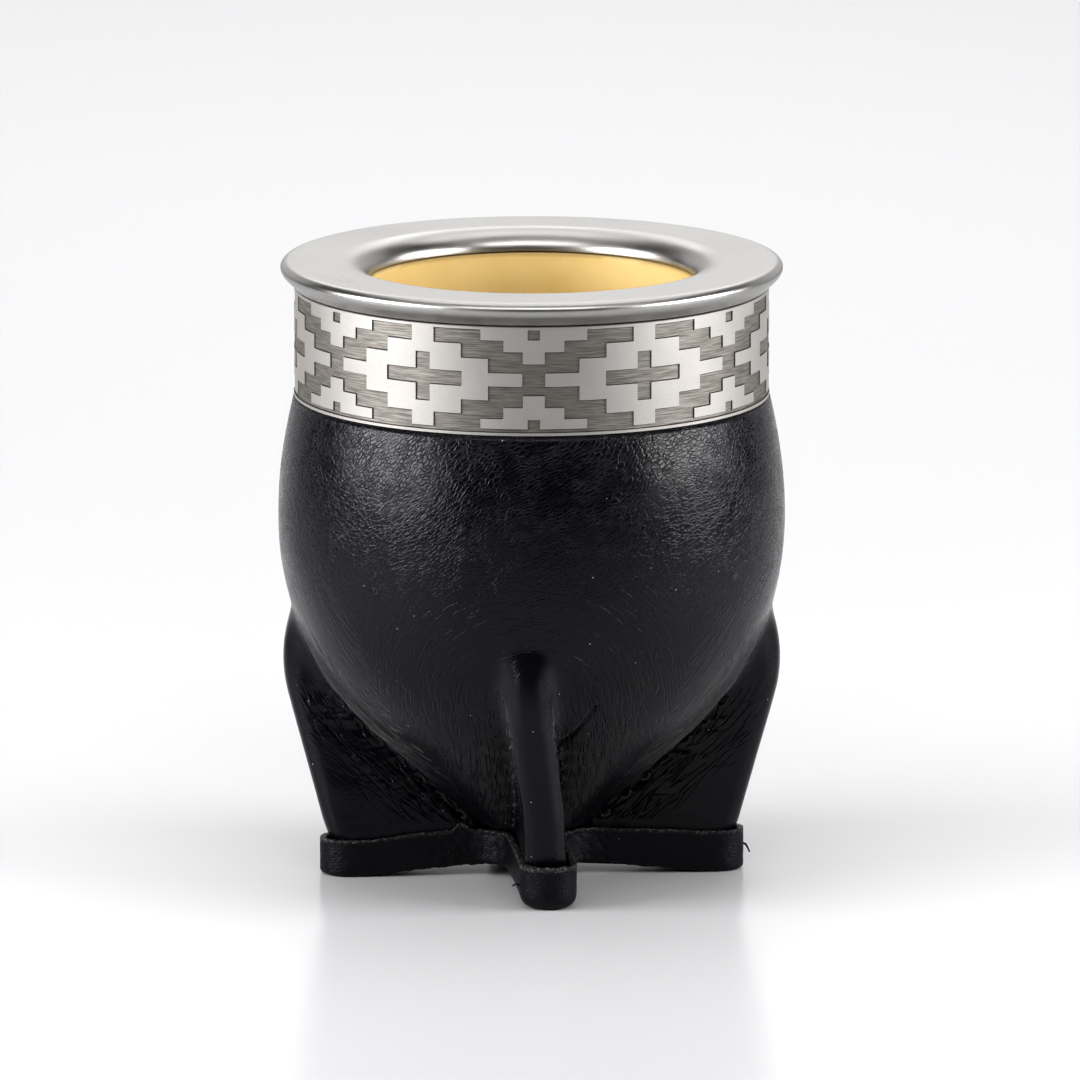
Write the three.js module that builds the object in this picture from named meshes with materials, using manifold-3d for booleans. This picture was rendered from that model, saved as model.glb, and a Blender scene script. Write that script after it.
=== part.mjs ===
// A mate cup: a calabash gourd in a black leather cover with four fins, a leather foot
// band under the fins, an engraved metal collar, and a flat metal mouth rim.
// Millimetres, +Z up. The origin is on the ground under the cup's axis, and the four
// arms of the foot lie along X and Y.
import * as THREE from "three";
import { mergeVertices } from "three/addons/utils/BufferGeometryUtils.js";
import Module from "manifold-3d";

// Overall sizes
const RIM_RADIUS = 45;
const TOTAL_HEIGHT = 111.4;
const GAP = 0.3;

// Mouth rim: one sheet of metal, rolled into the mouth and flared out under its edge
const SHEET = 0.9;
const RIM_SEGMENTS = 56;
const THROAT_RADIUS = 29.35;
const THROAT_DEPTH = 3.8;
const ROLL_START = 34.4;
const EDGE_START = 43.4;
const EDGE_DROP = 1.3;
const FLARE_RADIUS = 42.7;
const FLARE_BOTTOM = 107.15;

// Collar: a ring with a stepped cross pattern standing proud of its field
const COLLAR_BOTTOM = 87.05;
const COLLAR_TOP = FLARE_BOTTOM - GAP;
const COLLAR_INSIDE = 41.3;
const FIELD_RADIUS = 42.3;
const RAISED_RADIUS = 42.55;
const PATTERN_HALF_REPEATS = 13;
const PATTERN_MIDDLE_DEG = -93.7;
const PATTERN_LOW = 88.3;
const PATTERN_HIGH = 106.2;
const BEAD_TOP = 87.75;
const MIN_COLUMN = 0.5;

// Leather cover
const BELLY_RADIUS = 45.4;
const BELLY_HEIGHT = 65;
const UPPER_CURVE = 87;
const LOWER_HALF = 50.5;
const CONE_TOP = 27;
const CONE_SLOPE = 1.1;
const COVER_BOTTOM = 9.1;
const NECK_OUTSIDE = 41;
const NECK_TOP = 95;
const LEATHER = 2.2;

// Fins, and how far their tops are twisted against the foot
const FIN_COUNT = 4;
const FIN_PEAK_RADIUS = 44.55;
const FIN_PEAK_HEIGHT = 39.2;
const FIN_CURVE = 0.02;
const FIN_SLOPE = 0.27;
const FIN_HALF_TOP = 3.95;
const FIN_HALF_BOTTOM = 3.65;
const FIN_BLEND_LOW = 1.6;
const FIN_BLEND_HIGH = 6;
const BLEND_FROM = 24;
const BLEND_TO = 40;
const FIN_TWIST_DEG = -5.3;
const TWIST_FROM = 7.5;
const TWIST_TO = 49.5;

// Foot band
const FOOT_REACH = 38.2;
const FOOT_HALF = 5.15;
const FOOT_FILLET = 7;
const FOOT_HEIGHT_END = 7.9;
const FOOT_HEIGHT_MIDDLE = 8.8;
const FOOT_ARCH = 3.4;
const FOOT_FLAT_FROM = 30.5;
const FOOT_ROUND = 2.2;
const FOOT_WALL = 1.15;
const RECESS_FLOOR = 5.2;

// Gourd
const GOURD_SEGMENTS = 40;
const GOURD_NECK = 39;
const GOURD_MOUTH = 29.45;
const GOURD_TOP = 110.1;
const GOURD_HALF = 47.5;
const HOLLOW_RADIUS = 36;
const HOLLOW_HALF = 43;
const HOLLOW_NECK = 96;

const wasm = await Module();
wasm.setup();

const clamp = THREE.MathUtils.clamp;
const toRadians = THREE.MathUtils.degToRad;

// The solid of a closed geometry, for joining and cutting.
function toSolid(geometry) {
  const bare = new THREE.BufferGeometry();
  bare.setAttribute("position", geometry.getAttribute("position"));
  if (geometry.index) bare.setIndex(geometry.index);
  const merged = mergeVertices(bare, 1e-4);
  const mesh = new wasm.Mesh({
    numProp: 3,
    vertProperties: merged.attributes.position.array,
    triVerts: new Uint32Array(merged.index.array),
  });
  return new wasm.Manifold(mesh);
}

// The geometry of a solid.
function toGeometry(solid) {
  const mesh = solid.getMesh();
  const geometry = new THREE.BufferGeometry();
  geometry.setAttribute("position", new THREE.BufferAttribute(mesh.vertProperties, 3));
  geometry.setIndex(new THREE.BufferAttribute(mesh.triVerts, 1));
  geometry.computeVertexNormals();
  return geometry;
}

// Turns a closed outline of (radius, height) points round the Z axis. The outline runs
// clockwise when radius points right and height points up.
function turned(points, segments) {
  return new THREE.LatheGeometry([...points].reverse(), segments).rotateX(Math.PI / 2);
}

// Triangles that fill a ring, seen from above.
function filled(ring) {
  return THREE.ShapeUtils.triangulateShape(ring.map((p) => new THREE.Vector2(p.x, p.y)), []);
}

// A closed surface through rings of equal length, lowest first, each counterclockwise
// from above. The first and last rings are filled, the first with its own triangles if given.
function lofted(rings, lowerEnd) {
  const count = rings[0].length;
  const positions = rings.flat().flatMap((p) => [p.x, p.y, p.z]);
  const faces = [];
  for (let k = 0; k + 1 < rings.length; k += 1) {
    for (let i = 0; i < count; i += 1) {
      const j = (i + 1) % count;
      const low = k * count;
      const high = low + count;
      faces.push(low + i, low + j, high + j, low + i, high + j, high + i);
    }
  }
  const last = (rings.length - 1) * count;
  for (const [a, b, c] of lowerEnd ?? filled(rings[0])) faces.push(a, c, b);
  for (const [a, b, c] of filled(rings.at(-1))) faces.push(last + a, last + b, last + c);
  const geometry = new THREE.BufferGeometry();
  geometry.setAttribute("position", new THREE.Float32BufferAttribute(positions, 3));
  geometry.setIndex(faces);
  return geometry;
}

// Mouth rim

function rimGeometry() {
  const throatLow = TOTAL_HEIGHT - THROAT_DEPTH;
  const under = TOTAL_HEIGHT - SHEET;
  const edgeHeight = TOTAL_HEIGHT - EDGE_DROP;
  const edgeWidth = RIM_RADIUS - EDGE_START;
  const rollWidth = ROLL_START - THROAT_RADIUS;
  const seen = new THREE.Path();
  seen.moveTo(THROAT_RADIUS, throatLow);
  seen.absellipse(ROLL_START, throatLow, rollWidth, THROAT_DEPTH, Math.PI, Math.PI / 2, true);
  seen.lineTo(EDGE_START, TOTAL_HEIGHT);
  seen.absellipse(EDGE_START, edgeHeight, edgeWidth, EDGE_DROP, Math.PI / 2, 0, true);
  seen.bezierCurveTo(
    RIM_RADIUS, edgeHeight - 1.1,
    FLARE_RADIUS + 0.9, FLARE_BOTTOM + 1.1,
    FLARE_RADIUS, FLARE_BOTTOM,
  );
  const hidden = new THREE.Path();
  hidden.moveTo(FLARE_RADIUS - SHEET, FLARE_BOTTOM);
  hidden.quadraticCurveTo(FLARE_RADIUS + 0.3, edgeHeight - 1, EDGE_START, under);
  hidden.lineTo(ROLL_START, under);
  hidden.absellipse(
    ROLL_START, throatLow, rollWidth - SHEET, THROAT_DEPTH - SHEET,
    Math.PI / 2, Math.PI, false,
  );
  const points = [...seen.getPoints(3), ...hidden.getPoints(2)];
  return turned([...points, points[0]], RIM_SEGMENTS);
}

// Collar

// The raised cells of the two motifs, each {half, low, high}: half its width in degrees and
// the span of its height in tiers. A cut is a sunk cell inside them.
const TIER_COUNT = 7;
const CROSS_TIERS = [
  { half: 3, low: 0, high: 7 },
  { half: 10, low: 1, high: 6 },
  { half: 16.7, low: 2, high: 5 },
  { half: 25, low: 3, high: 4 },
];
const CROSS_CUTS = [
  { half: 1.8, low: 1.8, high: 5.2 },
  { half: 10, low: 3, high: 4 },
];
const HALF_TIERS = [
  { half: 13, low: 0, high: 0.75 },
  { half: 7.4, low: 0, high: 1.55 },
  { half: 2.7, low: 0, high: 2.4 },
];
const HALF_CUTS = [{ half: 1.4, low: 0, high: 0.65 }];
const PITCH = 360 / PATTERN_HALF_REPEATS;
const LAST_MOTIF = (PATTERN_HALF_REPEATS - 1) / 2;

const upsideDown = (cells) =>
  cells.map((c) => ({ half: c.half, low: TIER_COUNT - c.high, high: TIER_COUNT - c.low }));

// Whole motifs stand at odd places and half motifs, above and below, at even ones.
const isWhole = (place) => place % 2 !== 0;

// Whether the pattern is raised at an angle from its middle and at a height in tiers.
function raised(angle, tier) {
  const place = clamp(Math.round(angle / PITCH), -LAST_MOTIF, LAST_MOTIF);
  const inside = (cells, at) => cells.some((c) =>
    Math.abs(angle - at * PITCH) < c.half && tier > c.low && tier < c.high);
  const shown = (cells, cuts, at) => inside(cells, at) && !inside(cuts, at);
  return [place - 1, place, place + 1].some((at) => {
    if (Math.abs(at) > LAST_MOTIF) return false;
    if (isWhole(at)) return shown(CROSS_TIERS, CROSS_CUTS, at);
    return shown(HALF_TIERS, HALF_CUTS, at) || shown(upsideDown(HALF_TIERS), upsideDown(HALF_CUTS), at);
  });
}

const ascending = (values) =>
  [...new Set(values.map((v) => Number(v.toFixed(3))))].sort((a, b) => a - b);

// The angles at which some cell begins or ends, once round.
function patternAngles() {
  const angles = [180];
  for (let place = -LAST_MOTIF; place <= LAST_MOTIF; place += 1) {
    const cells = isWhole(place) ? [...CROSS_TIERS, ...CROSS_CUTS] : [...HALF_TIERS, ...HALF_CUTS];
    for (const c of cells) angles.push(place * PITCH - c.half, place * PITCH + c.half);
  }
  const sorted = ascending(angles);
  return sorted.filter((a, i) => i === 0 || a - sorted[i - 1] > MIN_COLUMN);
}

// The ring's levels up one column: {low, high, proud} from the bottom to the top.
function columnRuns(angle) {
  const cells = [...CROSS_TIERS, ...CROSS_CUTS, ...HALF_TIERS, ...HALF_CUTS];
  const tiers = ascending([...cells, ...upsideDown(cells)].flatMap((c) => [c.low, c.high]));
  const height = (tier) => THREE.MathUtils.lerp(PATTERN_LOW, PATTERN_HIGH, tier / TIER_COUNT);
  const runs = [
    { low: COLLAR_BOTTOM, high: BEAD_TOP, proud: true },
    { low: BEAD_TOP, high: PATTERN_LOW, proud: false },
  ];
  const add = (high, proud) => {
    const last = runs.at(-1);
    if (last.proud === proud) last.high = high;
    else runs.push({ low: last.high, high, proud });
  };
  for (let k = 0; k + 1 < tiers.length; k += 1) {
    add(height(tiers[k + 1]), raised(angle, (tiers[k] + tiers[k + 1]) / 2));
  }
  add(COLLAR_TOP, true);
  return runs;
}

// A closed drum whose wall stands proud where the pattern is raised.
function patternedDrum() {
  const angles = patternAngles();
  const count = angles.length;
  const columns = angles.map((a, i) => {
    const next = i + 1 < count ? angles[i + 1] : angles[0] + 360;
    return columnRuns((a + next) / 2);
  });
  // Line i is the left edge of column i, with a point wherever a level changes beside it.
  const stops = columns.map((runs, i) =>
    ascending([...runs, ...columns[(i + count - 1) % count]].flatMap((r) => [r.low, r.high])));
  const positions = [];
  const faces = [];
  const known = new Map();
  const point = (line, z, proud) => {
    const key = `${line % count},${z.toFixed(3)},${proud}`;
    if (!known.has(key)) {
      const a = toRadians(angles[line % count] + PATTERN_MIDDLE_DEG);
      const r = proud ? RAISED_RADIUS : FIELD_RADIUS;
      known.set(key, positions.length / 3);
      positions.push(r * Math.cos(a), r * Math.sin(a), z);
    }
    return known.get(key);
  };
  const near = (a, b) => Math.abs(a - b) < 1e-3;
  const between = (line, run) =>
    stops[line % count].filter((z) => z > run.low - 1e-3 && z < run.high + 1e-3);
  const proudAt = (runs, z) => runs.find((r) => z > r.low && z < r.high).proud;
  columns.forEach((runs, i) => {
    for (const run of runs) {
      const left = between(i, run);
      const right = between(i + 1, run);
      let a = 0;
      let b = 0;
      while (a + 1 < left.length || b + 1 < right.length) {
        const here = [point(i, left[a], run.proud), point(i + 1, right[b], run.proud)];
        if (b + 1 >= right.length || (a + 1 < left.length && left[a + 1] < right[b + 1])) {
          a += 1;
          faces.push(...here, point(i, left[a], run.proud));
        } else {
          b += 1;
          faces.push(...here, point(i + 1, right[b], run.proud));
        }
      }
      const above = runs.find((r) => near(r.low, run.high));
      if (above) {
        const [p, q] = [point(i, run.high, run.proud), point(i + 1, run.high, run.proud)];
        const [r, s] = [point(i + 1, run.high, above.proud), point(i, run.high, above.proud)];
        faces.push(p, q, r, p, r, s);
      }
    }
    const before = columns[(i + count - 1) % count];
    stops[i].slice(1).forEach((high, k) => {
      const low = stops[i][k];
      const [here, there] = [runs, before].map((column) => proudAt(column, (low + high) / 2));
      if (here === there) return;
      const [p, q] = [point(i, low, there), point(i, low, here)];
      const [r, s] = [point(i, high, here), point(i, high, there)];
      faces.push(p, q, r, p, r, s);
    });
  });
  const middle = positions.length / 3;
  positions.push(0, 0, COLLAR_BOTTOM, 0, 0, COLLAR_TOP);
  for (let i = 0; i < count; i += 1) {
    faces.push(middle, point(i + 1, COLLAR_BOTTOM, true), point(i, COLLAR_BOTTOM, true));
    faces.push(middle + 1, point(i, COLLAR_TOP, true), point(i + 1, COLLAR_TOP, true));
  }
  const geometry = new THREE.BufferGeometry();
  geometry.setAttribute("position", new THREE.Float32BufferAttribute(positions, 3));
  geometry.setIndex(faces);
  return geometry;
}

function collarGeometry() {
  const bore = new THREE.CylinderGeometry(COLLAR_INSIDE, COLLAR_INSIDE, 40, 48)
    .rotateX(Math.PI / 2)
    .translate(0, 0, (COLLAR_BOTTOM + COLLAR_TOP) / 2);
  return toGeometry(toSolid(patternedDrum()).subtract(toSolid(bore)));
}

// Leather cover

function bellyRadius(z) {
  const below = (h) => BELLY_RADIUS * Math.sqrt(1 - ((BELLY_HEIGHT - h) / LOWER_HALF) ** 2);
  if (z >= BELLY_HEIGHT) return BELLY_RADIUS - (z - BELLY_HEIGHT) ** 2 / (2 * UPPER_CURVE);
  if (z >= CONE_TOP) return below(z);
  return below(CONE_TOP) - CONE_SLOPE * (CONE_TOP - z);
}

// The radius of a fin's outer ridge.
function finReach(z) {
  const straightBelow = FIN_PEAK_HEIGHT - FIN_SLOPE / (2 * FIN_CURVE);
  const bulge = (h) => FIN_PEAK_RADIUS - FIN_CURVE * (h - FIN_PEAK_HEIGHT) ** 2;
  if (z >= straightBelow) return bulge(z);
  return bulge(straightBelow) - FIN_SLOPE * (straightBelow - z);
}

const finHalf = (z) =>
  THREE.MathUtils.lerp(FIN_HALF_BOTTOM, FIN_HALF_TOP, clamp((z - 8) / 30, 0, 1));

const finTwist = (z) =>
  toRadians(FIN_TWIST_DEG) * clamp((z - TWIST_FROM) / (TWIST_TO - TWIST_FROM), 0, 1);

const finBlend = (z) =>
  THREE.MathUtils.lerp(
    FIN_BLEND_LOW, FIN_BLEND_HIGH, THREE.MathUtils.smoothstep(z, BLEND_FROM, BLEND_TO),
  );

// The centre of a fin's rounded end. Blending moves the ridge outwards, so a fin that is
// hardly proud of the belly starts further in.
function finEndCentre(z) {
  const belly = bellyRadius(z);
  const blend = finBlend(z);
  const proud = Math.max(finReach(z) - belly, 0);
  const shortened = proud < blend ? 2 * Math.sqrt(blend * proud) - blend : proud;
  return belly + shortened - finHalf(z);
}

// The cover's outer radius at an angle from a fin's middle: belly and fin, smoothly joined.
function coverRadius(angle, z) {
  const belly = bellyRadius(z);
  const half = finHalf(z);
  const blend = finBlend(z);
  const tip = finEndCentre(z);
  const outside = (r) => {
    const u = r * Math.cos(angle);
    const v = r * Math.sin(angle);
    const fin = Math.hypot(u - clamp(u, 0, tip), v) - half;
    const round = r - belly;
    const mix = Math.max(blend - Math.abs(fin - round), 0) / blend;
    return Math.min(fin, round) - (mix * mix * blend) / 4;
  };
  let low = 0;
  let high = 80;
  for (let step = 0; step < 40; step += 1) {
    const middle = (low + high) / 2;
    if (outside(middle) < 0) low = middle;
    else high = middle;
  }
  return (low + high) / 2;
}

// Ray angles from one fin's middle half way to the next. At each height they follow the
// fin's round end, its flat side and its junction with the belly.
function rayAngles(z) {
  const half = finHalf(z);
  const junction = Math.asin(half / bellyRadius(z));
  const roundEnd = Math.min(Math.atan2(half, finEndCentre(z)), 0.8 * junction);
  const halfWay = Math.PI / FIN_COUNT;
  const beyond = (share) => THREE.MathUtils.lerp(junction, halfWay, share);
  return [
    0, 0.5 * roundEnd, 0.85 * roundEnd, roundEnd,
    THREE.MathUtils.lerp(roundEnd, junction, 0.9),
    beyond(0.04), beyond(0.16), beyond(0.38), beyond(0.68), halfWay,
  ];
}

// One ring of the cover: both sides of every fin in turn.
function coverRing(z, radius) {
  const rays = rayAngles(z);
  const sector = [...rays.slice(1, -1).map((a) => -a).reverse(), ...rays];
  const points = [];
  for (let fin = 0; fin < FIN_COUNT; fin += 1) {
    for (const ray of sector) {
      const r = radius ?? coverRadius(ray, z);
      const a = (fin * 2 * Math.PI) / FIN_COUNT + ray + finTwist(z);
      points.push(new THREE.Vector3(r * Math.cos(a), r * Math.sin(a), z));
    }
  }
  return points;
}

function coverGeometry() {
  const heights = [
    COVER_BOTTOM, 12, 16, 20.5, 25, 29.5, 34, 38, 41.5, 44.5, 47, 49.5, 54, 60, 67, 74.5, 81.5,
  ];
  const shoulder = COLLAR_BOTTOM - GAP;
  const rings = [
    ...heights.map((z) => coverRing(z)),
    coverRing(shoulder, bellyRadius(shoulder) - 0.5),
    coverRing(shoulder + 0.1, NECK_OUTSIDE),
    coverRing(NECK_TOP, NECK_OUTSIDE),
  ];
  const plugInset = FOOT_WALL + GAP + 0.05;
  const plug = lofted([
    footRing(plugInset, () => RECESS_FLOOR + GAP),
    footRing(plugInset, () => COVER_BOTTOM + 0.5),
  ]);
  const hollow = turned(gourdOutside(GAP, NECK_TOP + 5), GOURD_SEGMENTS);
  return toGeometry(toSolid(lofted(rings)).add(toSolid(plug)).subtract(toSolid(hollow)));
}

// Gourd

const gourdRadius = (z) => {
  const widest = BELLY_RADIUS - LEATHER - GAP;
  if (z >= BELLY_HEIGHT) return widest - (z - BELLY_HEIGHT) ** 2 / (2 * UPPER_CURVE);
  return widest * Math.sqrt(Math.max(0, 1 - ((BELLY_HEIGHT - z) / GOURD_HALF) ** 2));
};

// The gourd's outer line, grown by a clearance, closed along the axis up to a height.
function gourdOutside(clearance, top) {
  const low = BELLY_HEIGHT - GOURD_HALF;
  const points = [new THREE.Vector2(0, low - clearance)];
  const steps = 7;
  for (let k = 1; k <= steps; k += 1) {
    const a = (k / steps) * (Math.PI / 2);
    const z = BELLY_HEIGHT - GOURD_HALF * Math.cos(a);
    points.push(new THREE.Vector2(gourdRadius(z) + clearance, z - clearance * Math.cos(a)));
  }
  for (const z of [75, 84]) points.push(new THREE.Vector2(gourdRadius(z) + clearance, z));
  points.push(new THREE.Vector2(GOURD_NECK + clearance, 87.5));
  points.push(new THREE.Vector2(GOURD_NECK + clearance, top));
  points.push(new THREE.Vector2(0, top));
  return points.reverse();
}

function gourdGeometry() {
  const throatLow = TOTAL_HEIGHT - THROAT_DEPTH - GAP;
  const outer = gourdOutside(0, GOURD_TOP - 0.6).reverse().slice(0, -1);
  const mouth = new THREE.Path();
  mouth.moveTo(GOURD_NECK - 0.6, GOURD_TOP);
  mouth.lineTo(ROLL_START + 0.2, GOURD_TOP);
  mouth.quadraticCurveTo(31.4, 109.6, THROAT_RADIUS + SHEET + GAP, throatLow);
  mouth.lineTo(GOURD_MOUTH, throatLow);
  mouth.lineTo(GOURD_MOUTH, HOLLOW_NECK);
  mouth.bezierCurveTo(GOURD_MOUTH, 86, HOLLOW_RADIUS, 78, HOLLOW_RADIUS, BELLY_HEIGHT);
  const inner = [];
  const steps = 5;
  for (let k = 1; k <= steps; k += 1) {
    const a = (k / steps) * (Math.PI / 2);
    inner.push(new THREE.Vector2(
      k < steps ? HOLLOW_RADIUS * Math.cos(a) : 0,
      BELLY_HEIGHT - HOLLOW_HALF * Math.sin(a),
    ));
  }
  const points = [...outer, ...mouth.getPoints(3), ...inner].reverse();
  return turned(points, GOURD_SEGMENTS);
}

// Foot band

// The underside's height over the ground: highest in the middle, flat at the four ends.
const archHeight = (r) => FOOT_ARCH * clamp(1 - r / FOOT_FLAT_FROM, 0, 1);

const bandHeight = (r) =>
  THREE.MathUtils.lerp(FOOT_HEIGHT_MIDDLE, FOOT_HEIGHT_END, clamp(r / FOOT_FLAT_FROM, 0, 1));

// Places along an arm's straight sides, and the steps of its round end and of a fillet.
const ARM_STATIONS = [20, FOOT_FLAT_FROM];
const END_STEPS = 8;
const FILLET_STEPS = 4;

// The cross-shaped outline, moved inwards by an inset, at a height given by the radius.
function footRing(inset, height) {
  const half = FOOT_HALF - inset;
  const fillet = FOOT_FILLET + inset;
  const arm = [];
  const endCentre = FOOT_REACH - FOOT_HALF;
  for (const x of ARM_STATIONS) arm.push([x, -half]);
  for (let k = 0; k <= END_STEPS; k += 1) {
    const a = (k / END_STEPS - 0.5) * Math.PI;
    arm.push([endCentre + half * Math.cos(a), half * Math.sin(a)]);
  }
  for (const x of ARM_STATIONS.toReversed()) arm.push([x, half]);
  const corner = half + fillet;
  for (let k = 0; k <= FILLET_STEPS; k += 1) {
    const a = -Math.PI / 2 - (k / FILLET_STEPS) * (Math.PI / 2);
    arm.push([corner + fillet * Math.cos(a), corner + fillet * Math.sin(a)]);
  }
  const points = [];
  for (let quarter = 0; quarter < FIN_COUNT; quarter += 1) {
    const turn = (quarter * Math.PI) / 2;
    for (const [x, y] of arm) {
      points.push(new THREE.Vector3(
        x * Math.cos(turn) - y * Math.sin(turn),
        x * Math.sin(turn) + y * Math.cos(turn),
        height(Math.hypot(x, y)),
      ));
    }
  }
  return points;
}

// The triangles of the underside: strips across each arm, its round end, and the middle.
function undersideFaces(ring) {
  const sides = ARM_STATIONS.length;
  const perArm = 2 * sides + END_STEPS + FILLET_STEPS + 2;
  const faces = [];
  const middle = [];
  for (let arm = 0; arm < FIN_COUNT; arm += 1) {
    const first = arm * perArm;
    const before = (first + ring.length - 1) % ring.length;
    const endLow = first + sides;
    const endHigh = endLow + END_STEPS;
    const across = (k) => endHigh + sides + 1 - k;
    for (let k = 0; k <= sides; k += 1) {
      const near = k === 0 ? before : first + k - 1;
      faces.push([near, first + k, across(k + 1)], [near, across(k + 1), across(k)]);
    }
    for (let k = endLow; k + 1 < endHigh; k += 1) faces.push([k, k + 1, endHigh]);
    for (let k = 0; k <= FILLET_STEPS; k += 1) middle.push(across(0) + k);
  }
  const inside = filled(middle.map((k) => ring[k]));
  return [...faces, ...inside.map((face) => face.map((k) => middle[k]))];
}

function footGeometry() {
  const rounded = [0, 1, 2, 3].map((k) => {
    const a = (k / 3) * (Math.PI / 2);
    const inset = FOOT_ROUND * (1 - Math.sin(a));
    const lift = FOOT_ROUND * (1 - Math.cos(a));
    return footRing(inset, (r) => archHeight(r) + lift);
  });
  const block = lofted([
    ...rounded,
    footRing(0, (r) => bandHeight(r) - 0.5),
    footRing(0.4, bandHeight),
  ], undersideFaces(rounded[0]));
  const recess = lofted([
    footRing(FOOT_WALL, () => RECESS_FLOOR),
    footRing(FOOT_WALL, () => FOOT_HEIGHT_MIDDLE + 3),
  ]);
  return toGeometry(toSolid(block).subtract(toSolid(recess)));
}

// Materials and pieces

const leather = new THREE.MeshStandardMaterial({ color: 0x151416, roughness: 0.5, metalness: 0 });
const footLeather = new THREE.MeshStandardMaterial({ color: 0x131214, roughness: 0.7, metalness: 0 });
const steel = new THREE.MeshStandardMaterial({ color: 0xc9c7c4, roughness: 0.25, metalness: 1 });
const engraved = new THREE.MeshStandardMaterial({ color: 0xb7b3ad, roughness: 0.35, metalness: 1 });
const calabash = new THREE.MeshStandardMaterial({ color: 0xe0c27a, roughness: 0.6, metalness: 0 });

function piece(name, geometry, material) {
  const mesh = new THREE.Mesh(geometry, material);
  mesh.name = name;
  return mesh;
}

const cup = new THREE.Group();
cup.add(piece("mouth_rim", rimGeometry(), steel));
cup.add(piece("engraved_collar", collarGeometry(), engraved));
cup.add(piece("gourd", gourdGeometry(), calabash));
cup.add(piece("leather_cover", coverGeometry(), leather));
cup.add(piece("foot_band", footGeometry(), footLeather));

export default cup;
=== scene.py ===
import math

import bpy
import numpy as np
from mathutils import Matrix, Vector, noise


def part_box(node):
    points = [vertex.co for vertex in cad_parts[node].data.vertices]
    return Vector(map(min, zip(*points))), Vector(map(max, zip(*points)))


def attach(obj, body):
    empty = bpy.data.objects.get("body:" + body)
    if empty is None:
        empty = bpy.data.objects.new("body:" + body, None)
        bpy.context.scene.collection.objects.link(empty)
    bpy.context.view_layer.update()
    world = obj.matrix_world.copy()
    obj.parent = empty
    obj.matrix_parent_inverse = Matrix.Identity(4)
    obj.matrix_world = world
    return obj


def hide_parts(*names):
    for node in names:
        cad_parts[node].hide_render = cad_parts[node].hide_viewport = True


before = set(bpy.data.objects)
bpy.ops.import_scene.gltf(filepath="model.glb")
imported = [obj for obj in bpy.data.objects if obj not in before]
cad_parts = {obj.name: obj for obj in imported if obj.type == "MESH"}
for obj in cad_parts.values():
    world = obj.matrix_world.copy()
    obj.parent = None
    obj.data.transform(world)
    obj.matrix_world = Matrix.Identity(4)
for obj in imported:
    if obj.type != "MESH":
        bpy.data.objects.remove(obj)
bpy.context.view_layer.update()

bl_info = {
    "name": "Mate Cup",
    "version": (1, 0, 0),
    "blender": (4, 5, 0),
    "location": "3D View > Sidebar > Mate Cup",
    "description": "Builds a calabash mate cup with a leather cover, fins, foot, collar and rim",
    "category": "Add Mesh",
}

# Millimetres are the script's own unit, and meshes are made in metres.
MM = 0.001
GAP = 0.3


def box_mm(node):
    """The lowest and highest corner of a part of the frame, in millimetres."""
    low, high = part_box(node)
    return low / MM, high / MM


COLLAR_LOW, COLLAR_HIGH = box_mm("engraved_collar")
RIM_HIGH = box_mm("mouth_rim")[1]
COVER_HIGH = box_mm("leather_cover")[1]
FOOT_HIGH = box_mm("foot_band")[1]

# Mouth rim
RIM_RADIUS = RIM_HIGH.x
RIM_TOP = RIM_HIGH.z
SHEET = 0.9
THROAT_RADIUS = 29.35
THROAT_DEPTH = 3.8
ROLL_START = 34.4
EDGE_START = 43.4
EDGE_DROP = 1.3
FLARE_RADIUS = 42.7
FLARE_BOTTOM = RIM_TOP - 4.25

# Collar and its stepped pattern
COLLAR_INSIDE = 41.35
FIELD_RADIUS = 42.3
RAISED_RADIUS = 42.55
PATTERN_HALF_REPEATS = 13
PATTERN_MIDDLE = -93.7
PATTERN_LOW = 88.3
PATTERN_HIGH = 106.2
BEAD_TOP = 87.75
STEP_WIDTH = 0.14
RING_CHAMFER = 0.12
BEAD_HEIGHT = 0.16

# Leather cover
BELLY_RADIUS = 45.4
BELLY_HEIGHT = 65.0
UPPER_CURVE = 87.0
LOWER_HALF = 50.5
CONE_TOP = 27.0
CONE_SLOPE = 1.1
COVER_BOTTOM = 9.1
NECK_OUTSIDE = 41.0
NECK_TOP = COVER_HIGH.z
LEATHER = 2.2

# Fins
FIN_COUNT = 4
FIN_PEAK_RADIUS = 44.55
FIN_PEAK_HEIGHT = 39.2
FIN_TOP = 38.0
FIN_CURVE = 0.02
FIN_SLOPE = 0.27
FIN_TUCK_FROM = 10.5
FIN_HALF_TOP = 4.1
FIN_HALF_BOTTOM = 3.72
FIN_SOFT_TOP = 0.7
FIN_BLEND_LOW = 1.6
FIN_BLEND_HIGH = 3.6
BLEND_FROM = 24.0
BLEND_TO = 40.0
FIN_TWIST = -5.2
TWIST_FROM = 6.0
TWIST_TO = 44.0

# Seams along the roots of the fins, and the relief of the leather beside them
SEAM_LOW = 10.0
SEAM_HIGH = 34.5
STITCH_PITCH = 4.7
STITCH_RISE = 0.9
STITCH_SEED = 4
GROOVE_WIDTH = 0.55
GROOVE_DEPTH = 0.75
LUMP_HEIGHT = 1.1
FOLD_HEIGHT = 0.6
DENT_HEIGHT = 0.16
SWELL_HEIGHT = 0.10

# The long crease beside the front fin: across and up
CREASE_START = (3.0, 28.6)
CREASE_END = (8.2, 36.7)
CREASE_DEPTH = 0.6
CREASE_WIDTH = 0.3
CREASE_BOW = 0.5

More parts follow.
